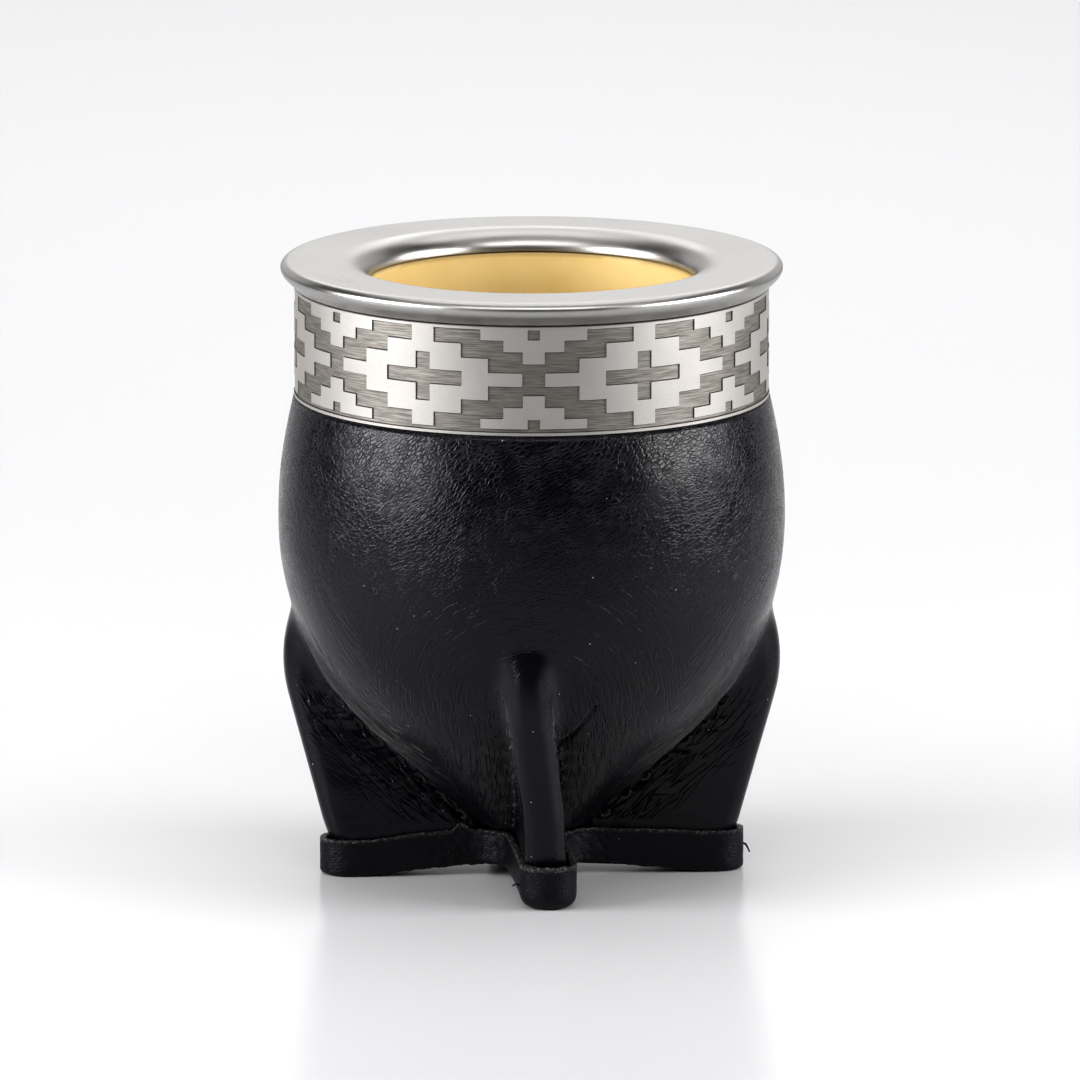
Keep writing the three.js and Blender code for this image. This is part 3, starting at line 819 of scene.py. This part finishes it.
class Finish(Web):
    """A material being made, with its shader and its object coordinates in metres."""

    def __init__(self, name):
        self.made = bpy.data.materials.new(name)
        self.made.use_nodes = True
        super().__init__(self.made.node_tree)
        self.shader = self.tree.nodes["Principled BSDF"]
        self.place = self.add("ShaderNodeTexCoord").outputs["Object"]

    def shade(self, values):
        self.feed(self.shader, values)

    def relief(self, strength, distance, height):
        """Bump for the shader, its distance in metres."""
        values = {"Strength": strength, "Distance": distance, "Height": height}
        self.shade({"Normal": self.out("ShaderNodeBump", values)})

    def parts(self, vector):
        return self.add("ShaderNodeSeparateXYZ", {0: vector}).outputs

    def along_line(self, direction):
        """How far a place lies along a direction."""
        node = self.add("ShaderNodeVectorMath", {0: self.place, 1: direction}, operation="DOT_PRODUCT")
        return node.outputs["Value"]

    def attribute(self, name):
        return self.add("ShaderNodeAttribute", attribute_name=name).outputs["Fac"]

    def ranged(self, value, low, high, to_low=0.0, to_high=1.0):
        """A value brought smoothly from one span to another."""
        spans = {"Value": value, "From Min": low, "From Max": high, "To Min": to_low, "To Max": to_high}
        return self.add("ShaderNodeMapRange", spans, interpolation_type="SMOOTHSTEP").outputs["Result"]

    def spread(self, noise_value, to_low=0.0, to_high=1.0):
        """Smooth noise brought to a span."""
        return self.ranged(noise_value, NOISE_LOW, NOISE_HIGH, to_low, to_high)

    def noise(self, place, scale, detail=2.0, rough=0.5, output=0):
        values = {"Vector": place, "Scale": scale, "Detail": detail, "Roughness": rough}
        return self.add("ShaderNodeTexNoise", values).outputs[output]

    def mapped(self, place, values):
        return self.out("ShaderNodeMapping", {"Vector": place, **values})

    def mixed(self, share, a, b):
        """One colour laid over another by a share."""
        return self.add("ShaderNodeMix", {0: share, 6: a, 7: b}, data_type="RGBA").outputs[2]

    def between(self, share, a, b):
        """One number blended into another by a share."""
        return self.add("ShaderNodeMix", {0: share, 2: a, 3: b}, data_type="FLOAT").outputs[0]

    def round_place(self, around, outwards, upwards):
        """Coordinates that stretch a pattern round the axis: scales round, out and up."""
        x, y, z = self.parts(self.place)
        flat = self.joined(x, y)
        length = self.add("ShaderNodeVectorMath", {0: flat}, operation="LENGTH").outputs["Value"]
        turn = self.parts(self.out("ShaderNodeVectorMath", {0: flat}, operation="NORMALIZE"))
        depth = self.plus(self.times(length, outwards), self.times(z, upwards))
        return self.joined(self.times(turn[0], around), self.times(turn[1], around), depth)

    def warped(self, place, scale, reach):
        """Coordinates pushed about by smooth noise: its scale, and how far it reaches."""
        drift = self.vector("SUBTRACT", self.noise(place, scale, 1.0, output="Color"), (0.5, 0.5, 0.5))
        return self.vector("ADD", place, self.vector("SCALE", drift, reach))

    def ridged(self, place, scale, detail, width):
        """Thin lines where smooth noise crosses its middle: 0 on a line, 1 away from it."""
        lumps = self.noise(place, scale, detail, 0.55)
        return self.ranged(self.calc("ABSOLUTE", self.minus(lumps, 0.5)), 0.0, width)


class Grower(Web):
    """A Geometry Nodes tree being built, with inputs (name, kind, default) of its own."""

    def __init__(self, name, inputs):
        super().__init__(bpy.data.node_groups.new(name, "GeometryNodeTree"))
        face = self.tree.interface
        face.new_socket("Geometry", in_out="INPUT", socket_type="NodeSocketGeometry")
        self.identifiers = {}
        for key, kind, default in inputs:
            made = face.new_socket(key, in_out="INPUT", socket_type="NodeSocket" + kind)
            made.default_value = default
            if kind == "Float":
                made.subtype = "DISTANCE"
            self.identifiers[key] = made.identifier
        face.new_socket("Geometry", in_out="OUTPUT", socket_type="NodeSocketGeometry")
        self.given = self.tree.nodes.new("NodeGroupInput").outputs

    def end(self, geometry, material):
        """Ends the tree in real geometry of a material."""
        real = self.out("GeometryNodeRealizeInstances", {0: geometry})
        self.add("NodeGroupOutput", {0: self.out("GeometryNodeSetMaterial", {0: real, "Material": material})})

    def grown(self, name, guide, values):
        """The plain object that the tree makes of a guide, which is removed."""
        modifier = guide.modifiers.new(self.tree.name, "NODES")
        modifier.node_group = self.tree
        for key, value in values.items():
            modifier[self.identifiers[key]] = value
        bpy.context.view_layer.update()
        graph = bpy.context.evaluated_depsgraph_get()
        mesh = bpy.data.meshes.new_from_object(guide.evaluated_get(graph))
        guide.modifiers.remove(modifier)
        bpy.data.objects.remove(guide)
        mesh.name = name
        mesh.shade_smooth()
        return linked(name, mesh)


# Materials


def rim_steel(look):
    """Satin steel, brushed round the axis."""
    m = Finish("Rim steel")
    streak = m.noise(m.round_place(5.0, 9000.0, 9000.0), 1.0, 3.0)
    smudge = m.noise(m.place, 60.0, 3.0)
    rough = m.spread(smudge, look.rim_roughness - 0.03, look.rim_roughness + 0.05)
    dark, light = tone(look.rim_colour, 0.93), tone(look.rim_colour)
    m.shade({
        "Metallic": 1.0,
        "Roughness": m.plus(rough, m.spread(streak, -0.03, 0.04)),
        "Base Color": m.mixed(m.ranged(streak, 0.25, 0.75), dark, light),
    })
    m.relief(0.5, 0.000004, streak)
    return m.made


def collar_steel(look):
    """Steel with satin figures, a darker brushed field and painted shade on the steps between them."""
    m = Finish("Engraved steel")
    proud = m.attribute("proud")
    lines = m.noise(m.round_place(9.0, 0.0, 7000.0), 1.0, 4.0, 0.6)
    fine = m.noise(m.round_place(60.0, 0.0, 9000.0), 1.0, 3.0)
    smudge = m.noise(m.place, 90.0, 3.0)
    field = m.mixed(m.spread(lines), tone(look.field_colour, 0.62), tone(look.field_colour, 1.2))
    top = m.mixed(m.spread(smudge), tone(look.figure_colour, 0.95), tone(look.figure_colour))
    # Painted shade on the steps between the raised figures and the sunk field
    step_shade = m.ranged(m.times(proud, m.minus(1.0, proud)), 0.05, 0.2, 0.0, 0.75)
    rough_field = m.spread(lines, look.field_roughness + 0.08, look.field_roughness - 0.05)
    rough_top = m.spread(fine, look.figure_roughness - 0.03, look.figure_roughness + 0.04)
    m.shade({
        "Metallic": 1.0,
        "Roughness": m.between(proud, rough_field, rough_top),
        "Base Color": m.mixed(step_shade, m.mixed(proud, field, top), STEP_SHADE_COLOUR),
    })
    m.relief(0.6, 0.00002, m.between(proud, lines, m.times(fine, 0.12)))
    return m.made


def calabash(look):
    """Dry, smooth gourd wall with a faint upright fibre, darker where it meets the rim."""
    m = Finish("Calabash")
    cloud = m.noise(m.place, 70.0, 4.0)
    fibre = m.noise(m.round_place(90.0, 0.0, 60.0), 1.0, 4.0, 0.6)
    joint = RIM_TOP - THROAT_DEPTH - GAP
    shade = m.ranged(m.parts(m.place)[2], (joint - 1.0) * MM, (joint + 0.1) * MM, 0.0, 0.45)
    base = m.mixed(m.spread(cloud), tone(look.gourd_dark), tone(look.gourd_light))
    base = m.mixed(shade, base, JOINT_COLOUR)
    base = m.mixed(m.ranged(fibre, 0.62, 0.8, 0.0, 0.25), base, tone(look.gourd_dark))
    m.shade({"Base Color": base, "Roughness": m.spread(cloud, 0.5, 0.62)})
    m.relief(0.4, 0.00008, fibre)
    return m.made


def crease_net(m, flow, look):
    """The leather's fine net of creases, and finer noise in the same slanting places."""
    turned = m.mapped(flow, {"Rotation": (0.3, 0.55, 0.0)})
    lean = m.mapped(turned, {"Scale": (0.6, 0.9, 1.5)})
    cells = m.add(
        "ShaderNodeTexVoronoi",
        {"Vector": lean, "Scale": look.grain_scale, "Randomness": 1.0},
        feature="DISTANCE_TO_EDGE",
    )
    net = m.ranged(cells.outputs["Distance"], 0.0, 0.2, 1.0, 0.0)
    return net, m.noise(lean, look.grain_scale * 2.2, 2.0, 0.6)


def fin_lines(m, height):
    """Long lines drawn in the leather round the fins, weaker above them and far from them."""
    around = m.attribute("around_fin")
    past = m.attribute("past_fin")
    by_fin = m.joined(around, m.times(past, 0.14), m.along_line((110.0, 70.0, 0.0)))
    drawn = m.ridged(m.warped(by_fin, 0.3, 1.1), 0.95, 1.2, 0.06)
    above = m.calc("DIVIDE", m.minus(height, FIN_TOP * MM), m.times(around, MM))
    past_nose = m.minus(around, m.ranged(above, 0.35, 0.8, 0.0, 4.5))
    near = m.times(m.ranged(past_nose, 4.0, 6.5), m.ranged(around, 14.0, 32.0, 1.0, 0.45))
    near = m.times(near, m.ranged(above, 0.2, 0.8, 1.0, 0.42))
    near = m.times(near, m.ranged(height, 0.055, 0.075, 1.0, 0.0))
    return m.times(m.minus(1.0, drawn), near)


def seam_folds(m, look):
    """Folds that run out from the seams."""
    by_seam = m.joined(m.times(m.attribute("seam_along"), 0.16), m.attribute("seam_off"))
    fold = m.ridged(m.warped(by_seam, 0.35, 1.3), 0.75, 1.0, 0.08)
    return m.times(fold, m.times(m.attribute("pucker"), look.fold_depth))


def dusty(m, base):
    """Small pale specks strewn over a colour."""
    specks = m.add("ShaderNodeTexVoronoi", {"Vector": m.place, "Scale": 380.0, "Randomness": 1.0}).outputs
    chance = m.out("ShaderNodeSeparateColor", {0: specks["Color"]})
    dust = m.times(m.calc("LESS_THAN", specks["Distance"], 0.05), m.calc("GREATER_THAN", chance, 0.72))
    return m.mixed(dust, base, DUST_COLOUR)


def leather(name, look, roughness, gloss_level, low_net, sheen):
    """Black leather: a net of fine creases, lines round the fins, folds by a seam, cut edges with a painted
    highlight, dust.
    """
    m = Finish(name)
    height = m.parts(m.place)[2]
    high_up = m.ranged(height, 0.046, 0.068, low_net, 1.0)
    worn = m.ranged(m.noise(m.place, 260.0, 2.0), 0.38, 0.62, 0.55, 1.0)
    wide = m.noise(m.place, 95.0, 3.0)
    flow = m.warped(m.warped(m.place, 60.0, 0.006), 520.0, 0.0009)
    net, fine = crease_net(m, flow, look)
    creased = m.times(net, m.times(worn, high_up))
    slanted = m.mapped(flow, {"Rotation": (0.2, -0.75, 0.0)})
    stretched = m.mapped(slanted, {"Scale": (1.0, 0.4, 0.22)})
    long_line = m.times(m.minus(1.0, m.ridged(stretched, 420.0, 1.0, 0.035)), high_up)
    sunken = m.plus(m.times(creased, 0.3), m.times(long_line, 0.16))
    sunken = m.plus(sunken, m.times(fin_lines(m, height), m.times(worn, 0.9)))
    grain = m.minus(m.times(fine, 0.06), sunken)
    cut = m.attribute("cut")
    crumbs = m.noise(m.place, 1700.0, 3.0, 0.65)
    ragged = m.times(cut, m.times(crumbs, 3.0))
    m.relief(1.0, look.grain_depth, m.plus(m.plus(grain, seam_folds(m, look)), ragged))
    base = m.mixed(m.spread(wide), tone(look.leather_colour, 0.7), tone(look.leather_colour, 1.2))
    # The cut edge gets a painted highlight, made ragged by noise
    edge_highlight = m.times(cut, m.ranged(crumbs, 0.48, 0.66, 0.12, 1.0))
    rough = m.spread(wide, roughness - 0.03, roughness + 0.05)
    m.shade({
        "Base Color": m.mixed(edge_highlight, dusty(m, base), CUT_EDGE_HIGHLIGHT_COLOUR),
        "Roughness": m.plus(rough, m.ranged(creased, 0.0, 1.0, 0.0, 0.16)),
        "IOR": 1.5,
        "Specular IOR Level": gloss_level,
        "Sheen Weight": m.ranged(height, 0.014, 0.036, 0.0, sheen),
        "Sheen Roughness": 0.3,
    })
    return m.made


def thread(look):
    """Waxed thread with slanting strands."""
    m = Finish("Waxed thread")
    strands = m.add(
        "ShaderNodeTexWave",
        {"Vector": m.place, "Scale": 900.0, "Distortion": 2.0, "Detail": 1.0},
        bands_direction="DIAGONAL",
    ).outputs["Fac"]
    m.shade({
        "Base Color": m.mixed(strands, tone(look.leather_colour, 0.7), THREAD_SHINE),
        "Roughness": 0.24,
    })
    m.relief(0.8, 0.00008, strands)
    return m.made


def floor_finish(look):
    """A pale floor that grows paler away from the camera; the darker colour near the camera is painted shade
    that evens out the stronger light there.
    """
    m = Finish("Pale floor")
    depth = m.along_line((math.sin(CUP_TURN), math.cos(CUP_TURN), 0.0))
    near, far = tone(look.floor_colour), tone(look.far_floor_colour)
    m.shade({
        "Base Color": m.mixed(m.ranged(depth, 0.0, 0.75), near, far),
        "Roughness": look.floor_roughness,
        "Specular IOR Level": look.floor_gloss,
    })
    return m.made


def dress(made, material, slot, *nodes):
    """Gives a finished piece its material and body, and hides the nodes that it replaces. Its slot is not
    used.
    """
    made.data.materials.clear()
    made.data.materials.append(material)
    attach(made, "root")
    if nodes:
        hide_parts(*nodes)


# Pieces made by Geometry Nodes


def paths_object(name, paths):
    """A mesh of open polylines, each an array of millimetre points."""
    edges = []
    start = 0
    for path in paths:
        edges += [(start + i, start + i + 1) for i in range(len(path) - 1)]
        start += len(path)
    mesh = bpy.data.meshes.new(name)
    mesh.from_pydata((np.concatenate(paths) * MM).tolist(), edges, [])
    return linked(name, mesh)


def turned_piece(name, profile, segments, material):
    """A closed ring of sheet, turned about the axis from its (radius, height) outline."""
    w = Grower("Turned sheet", [("Segments", "Int", 96)])
    outline_in, steps = w.given["Geometry"], w.given["Segments"]
    count = w.add("GeometryNodeAttributeDomainSize", {0: outline_in}).outputs["Point Count"]
    across = w.plus(steps, 1.0)
    sheet = w.out("GeometryNodeMeshGrid", {"Vertices X": w.plus(count, 1.0), "Vertices Y": across})
    index = w.out("GeometryNodeInputIndex")
    row = w.calc("FLOOR", w.calc("DIVIDE", w.plus(index, 0.5), across))
    column = w.minus(index, w.times(row, across))
    turn = w.times(w.calc("DIVIDE", column, steps), 2 * math.pi)
    sample = {
        "Geometry": outline_in,
        "Value": w.out("GeometryNodeInputPosition"),
        "Index": w.calc("MODULO", row, count),
    }
    point = w.out("GeometryNodeSampleIndex", sample, data_type="FLOAT_VECTOR")
    spun = w.out("ShaderNodeVectorRotate", {"Vector": point, "Angle": turn}, rotation_type="Z_AXIS")
    shaped = w.out("GeometryNodeSetPosition", {"Geometry": sheet, "Position": spun})
    closed = w.out("GeometryNodeMergeByDistance", {"Geometry": shaped, "Distance": 0.001 * MM})
    w.end(w.out("GeometryNodeFlipFaces", {0: closed}), material)
    guide = paths_object(name + "_guide", [np.array([(r, 0.0, z) for r, z in profile])])
    return w.grown(name, guide, {"Segments": segments})


def seam_paths():
    """The line of each seam: both sides of every fin, in millimetres."""
    paths = []
    heights = np.linspace(SEAM_HIGH - 3.0, SEAM_LOW + 1.2, 60)
    for fin in range(FIN_COUNT):
        for side in (-1, 1):
            u = belly_radius(heights) + 0.4
            v = side * (fin_half(heights) + 0.35)
            turn = fin * math.pi / 2 + fin_twist(heights)
            x = u * np.cos(turn) - v * np.sin(turn)
            y = u * np.sin(turn) + v * np.cos(turn)
            paths.append(np.column_stack([x, y, heights]))
    return paths


def stitches(name, look, material):
    """Short bowed stitches of uneven size, set along every seam."""
    sizes = {
        "Pitch": STITCH_PITCH * MM,
        "Stitch length": look.stitch_length * MM,
        "Thread": look.thread_radius * MM,
        "Rise": STITCH_RISE * MM,
    }
    inputs = [(key, "Float", value) for key, value in sizes.items()]
    w = Grower("Stitches", [*inputs, ("Seed", "Int", STITCH_SEED)])
    curve = w.out("GeometryNodeMeshToCurve", {0: w.given["Geometry"]})
    even = w.out("GeometryNodeResampleCurve", {"Curve": curve, "Length": w.given["Pitch"]}, mode="LENGTH")
    tangent = w.out("GeometryNodeInputTangent")
    aim = w.out("FunctionNodeAlignRotationToVector", {"Vector": tangent}, axis="X")
    half = w.times(w.given["Stitch length"], 0.5)
    bow = w.out(
        "GeometryNodeCurveQuadraticBezier",
        {
            "Resolution": 6,
            "Start": w.joined(w.times(half, -1.0)),
            "Middle": w.joined(z=w.given["Rise"]),
            "End": w.joined(half),
        },
    )
    section = w.out("GeometryNodeCurvePrimitiveCircle", {"Resolution": 8, "Radius": w.given["Thread"]})
    stitch = w.out("GeometryNodeCurveToMesh", {"Curve": bow, "Profile Curve": section, "Fill Caps": True})
    spans = {"Min": (0.8, 0.8, 0.8), "Max": (1.2, 1.15, 1.3), "Seed": w.given["Seed"]}
    size = w.out("FunctionNodeRandomValue", spans, data_type="FLOAT_VECTOR")
    places = {"Points": even, "Instance": stitch, "Rotation": aim, "Scale": size}
    w.end(w.out("GeometryNodeInstanceOnPoints", places), material)
    return w.grown(name, paths_object(name + "_guide", seam_paths()), {**sizes, "Seed": STITCH_SEED})


def tube_rings(path, radii, sides=10):
    """Rings of a thin tube along a path of millimetre points."""
    path = np.array(path, float)
    ahead = np.gradient(path, axis=0)
    ahead /= np.linalg.norm(ahead, axis=1, keepdims=True)
    aside = np.cross(ahead, (0.31, 0.22, 0.92))
    aside /= np.linalg.norm(aside, axis=1, keepdims=True)
    over = np.cross(ahead, aside)
    turn = np.arange(sides)[None, :, None] * (2 * math.pi / sides)
    round_it = aside[:, None, :] * np.cos(turn) + over[:, None, :] * np.sin(turn)
    return path[:, None, :] + np.array(radii)[:, None, None] * round_it


# Settings


def colour(name, description, default):
    return bpy.props.FloatVectorProperty(
        name=name, description=description, subtype="COLOR", default=default, min=0, max=1
    )


def share(name, description, default):
    return bpy.props.FloatProperty(
        name=name, description=description, default=default, min=0, max=1, subtype="FACTOR"
    )


def power(name, description, default):
    return bpy.props.FloatProperty(
        name=name, description=description, default=default, min=0, max=500, unit="POWER"
    )


def number(name, description, default, low, high):
    return bpy.props.FloatProperty(name=name, description=description, default=default, min=low, max=high)


class CupLook(bpy.types.PropertyGroup):
    """Colours and finishes of the cup."""

    rim_colour: colour("Rim colour", "Colour of the mouth rim's steel", (0.455, 0.448, 0.44))
    rim_roughness: share("Rim roughness", "How satin the rim is", 0.32)
    figure_colour: colour("Figure colour", "Colour of the collar's raised figures", (0.45, 0.437, 0.424))
    figure_roughness: share("Figure roughness", "How satin the raised figures are", 0.6)
    field_colour: colour("Field colour", "Colour of the collar's sunk field", (0.275, 0.262, 0.245))
    field_roughness: share("Field roughness", "How dull the sunk field is", 0.56)
    gourd_light: colour("Light calabash", "The calabash's light tone", (0.82, 0.67, 0.365))
    gourd_dark: colour("Dark calabash", "The calabash's dark tone", (0.78, 0.625, 0.315))
    leather_colour: colour("Leather colour", "Colour of all the leather", (0.0021, 0.0017, 0.0058))
    leather_roughness: share("Leather roughness", "How dull the cover is", 0.23)
    leather_sheen: share("Leather sheen", "Soft glow where the cover turns away", 0.38)
    grain_scale: number("Grain scale", "Wrinkles of the leather's grain in a metre", 1200.0, 100, 5000)
    fold_depth: number("Fold depth", "Depth of creases by a seam, against the grain's", 2.2, 0, 20)
    grain_depth: bpy.props.FloatProperty(
        name="Grain depth", description="Height of the leather's grain", default=0.00014, min=0, max=0.001,
        subtype="DISTANCE", unit="LENGTH",
    )
    stitch_length: number("Stitch length", "Length of one stitch in millimetres", 2.2, 0.5, 6)
    thread_radius: number("Thread radius", "Half the thread's thickness in millimetres", 0.38, 0.1, 1)


class StageLook(bpy.types.PropertyGroup):
    """Floor and lights."""

    # The near floor colour is darker as painted shade, to even out the stronger light near the cup
    floor_colour: colour("Floor colour", "Colour of the floor", (0.625, 0.625, 0.633))
    far_floor_colour: colour(
        "Far floor colour", "Colour of the floor well behind the cup", (0.815, 0.815, 0.825)
    )
    floor_roughness: share("Floor roughness", "How dull the floor is", 0.2)
    floor_gloss: share("Floor gloss", "How strongly the floor mirrors", 0.052)
    left_power: power("Left power", "Power of the left light", 4.8)
    right_power: power("Right power", "Power of the right light", 4.1)
    top_power: power("Top power", "Power of the light overhead", 4.6)
    front_power: power("Front power", "Power of the high light in front", 8.0)
    far_power: power("Far power", "Power of the light over the far floor", 5.5)
    back_power: power("Back power", "Power of the light behind", 9.0)
    contrast_gamma: number(
        "Contrast gamma", "Gamma of the view; below one it deepens the darks", 0.7, 0.3, 1.5
    )
    sky: number("Sky", "Strength of the even light all round", 0.04, 0, 5)


# Operators


class CUP_OT_rim(bpy.types.Operator):
    """Makes the flat steel mouth rim with its rolled throat and flared edge"""

    bl_idname = "cup.rim"
    bl_label = "Mouth rim"

    def execute(self, context):
        steel = rim_steel(context.scene.cup_look)
        made = turned_piece("mouth_rim_finish", rim_profile(), 288, steel)
        made.data.set_sharp_from_angle(angle=math.radians(50))
        dress(made, steel, "rim_steel", "mouth_rim")
        return {"FINISHED"}


class CUP_OT_collar(bpy.types.Operator):
    """Makes the collar with its raised stepped figures"""

    bl_idname = "cup.collar"
    bl_label = "Engraved collar"

    def execute(self, context):
        rings, proud = collar_rings()
        made = piece_from_rings("engraved_collar_finish", rings, "wrap")
        made.data.set_sharp_from_angle(angle=math.radians(35))
        point_value(made, "proud", proud)
        dress(made, collar_steel(context.scene.cup_look), "collar_steel", "engraved_collar")
        return {"FINISHED"}


class CUP_OT_gourd(bpy.types.Operator):
    """Makes the hollow calabash"""

    bl_idname = "cup.gourd"
    bl_label = "Calabash"

    def execute(self, context):
        made = piece_from_rings("gourd_finish", gourd_rings(), ("pole", "pole"))
        made.data.set_sharp_from_angle(angle=math.radians(50))
        dress(made, calabash(context.scene.cup_look), "calabash", "gourd")
        return {"FINISHED"}


class CUP_OT_cover(bpy.types.Operator):
    """Makes the leather cover with its fins, seams and puckers"""

    bl_idname = "cup.cover"
    bl_label = "Leather cover"

    def execute(self, context):
        look = context.scene.cup_look
        rings, values = cover_rings()
        made = piece_from_rings("leather_cover_finish", rings, ("face", "pole"))
        for name, field in values.items():
            point_value(made, name, field)
        finish = (look.leather_roughness, COVER_GLOSS, COVER_LOW_NET, look.leather_sheen)
        dress(made, leather("Cover leather", look, *finish), "cover_leather", "leather_cover")
        return {"FINISHED"}


class CUP_OT_foot(bpy.types.Operator):
    """Makes the cross-shaped leather band under the fins"""

    bl_idname = "cup.foot"
    bl_label = "Foot band"

    def execute(self, context):
        look = context.scene.cup_look
        rings, cut = foot_rings()
        made = piece_from_rings("foot_band_finish", rings, ("face", "face"))
        point_value(made, "cut", cut)
        finish = (look.leather_roughness + FOOT_DULLER, FOOT_GLOSS, FOOT_LOW_NET, 0.0)
        dress(made, leather("Foot leather", look, *finish), "foot_leather", "foot_band")
        return {"FINISHED"}


class CUP_OT_stitches(bpy.types.Operator):
    """Sews the stitches along the roots of the fins"""

    bl_idname = "cup.stitches"
    bl_label = "Stitches"

    def execute(self, context):
        look = context.scene.cup_look
        material = thread(look)
        dress(stitches("seam_stitches", look, material), material, "cover_leather")
        for name, path in THREAD_ENDS.items():
            radii = np.linspace(0.24, 0.12, len(path))
            made = piece_from_rings(name, tube_rings(path, radii), ("face", "face"))
            dress(made, material, "foot_leather")
        return {"FINISHED"}


def area_light(name, place, target, width, height, power):
    """A soft rectangular light at a place in metres, aimed at a target."""
    data = bpy.data.lights.new(name, "AREA")
    data.shape = "RECTANGLE"
    data.size = width
    data.size_y = height
    data.energy = power
    made = linked(name, data)
    made.location = place
    aim = Vector(target) - Vector(place)
    made.rotation_euler = aim.to_track_quat("-Z", "Y").to_euler()
    made.visible_camera = False


def turned_place(azimuth, distance, height):
    """A place in metres round the cup; azimuth 0 is towards the camera, 90 to its right."""
    a = math.radians(azimuth)
    x, y = distance * math.sin(a), -distance * math.cos(a)
    c, s = math.cos(CUP_TURN), math.sin(CUP_TURN)
    return (x * c + y * s, -x * s + y * c, height)


class CUP_OT_stage(bpy.types.Operator):
    """Makes the floor, the lights and the camera"""

    bl_idname = "cup.stage"
    bl_label = "Stage"

    def execute(self, context):
        scene = context.scene
        look = scene.stage_look
        mesh = bpy.data.meshes.new("floor")
        corners = [(x * FLOOR_REACH, y * FLOOR_REACH, 0) for x, y in ((-1, -1), (1, -1), (1, 1), (-1, 1))]
        mesh.from_pydata(corners, [], [(0, 1, 2, 3)])
        mesh.materials.append(floor_finish(look))
        linked("floor", mesh)
        middle, level = (0, 0, 0.06), (0, 0, 0.23)
        area_light("left_light", turned_place(-70, 0.55, 0.23), level, 0.46, 0.26, look.left_power)
        area_light("right_light", turned_place(78, 0.55, 0.23), level, 0.46, 0.26, look.right_power)
        area_light("top_light", turned_place(0, 0.02, 1.1), middle, 1.6, 1.4, look.top_power)
        area_light("front_light", turned_place(0, 0.85, 0.95), middle, 1.4, 0.5, look.front_power)
        area_light("far_light", turned_place(180, 0.95, 0.75), (0, 0.95, 0), 1.8, 0.7, look.far_power)
        area_light("back_light", turned_place(180, 1.3, 0.55), (0, 0, 0.3), 3.0, 1.0, look.back_power)
        world = bpy.data.worlds.new("studio")
        world.use_nodes = True
        ground = world.node_tree.nodes["Background"]
        ground.inputs["Color"].default_value = (1.0, 1.0, 1.0, 1.0)
        ground.inputs["Strength"].default_value = look.sky
        scene.world = world
        scene.view_settings.view_transform = "Standard"
        scene.view_settings.gamma = look.contrast_gamma
        data = bpy.data.cameras.new("camera")
        data.sensor_width = SENSOR
        data.lens = SENSOR * FOCAL_SHARE
        data.clip_start, data.clip_end = 0.1, 50.0
        camera = linked("camera", data)
        c, s = math.cos(CUP_TURN), math.sin(CUP_TURN)
        camera.location = (
            (CAMERA_ASIDE * c - CAMERA_DISTANCE * s) * MM,
            (-CAMERA_ASIDE * s - CAMERA_DISTANCE * c) * MM,
            CAMERA_HEIGHT * MM,
        )
        camera.rotation_euler = (math.pi / 2 - CAMERA_PITCH, 0.0, -CUP_TURN)
        scene.camera = camera
        return {"FINISHED"}


class CUP_PT_sidebar(bpy.types.Panel):
    """Lists the cup's pieces and its looks"""

    bl_idname = "CUP_PT_sidebar"
    bl_label = "Mate Cup"
    bl_space_type = "VIEW_3D"
    bl_region_type = "UI"
    bl_category = "Mate Cup"

    def draw(self, context):
        column = self.layout.column()
        for operator in PIECES:
            column.operator(operator.bl_idname)
        for group in (context.scene.cup_look, context.scene.stage_look):
            for name in group.bl_rna.properties.keys():
                if name not in ("rna_type", "name"):
                    column.prop(group, name)


PIECES = (
    CUP_OT_stage,
    CUP_OT_rim,
    CUP_OT_collar,
    CUP_OT_gourd,
    CUP_OT_cover,
    CUP_OT_foot,
    CUP_OT_stitches,
)
CLASSES = (CupLook, StageLook, *PIECES, CUP_PT_sidebar)


def register():
    for item in CLASSES:
        bpy.utils.register_class(item)
    bpy.types.Scene.cup_look = bpy.props.PointerProperty(type=CupLook)
    bpy.types.Scene.stage_look = bpy.props.PointerProperty(type=StageLook)


def unregister():
    del bpy.types.Scene.stage_look
    del bpy.types.Scene.cup_look
    for item in reversed(CLASSES):
        bpy.utils.unregister_class(item)


def build_cup():
    """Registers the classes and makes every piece."""
    register()
    bpy.ops.cup.stage()
    bpy.ops.cup.rim()
    bpy.ops.cup.collar()
    bpy.ops.cup.gourd()
    bpy.ops.cup.cover()
    bpy.ops.cup.foot()
    bpy.ops.cup.stitches()


if __name__ == "__main__":
    build_cup()
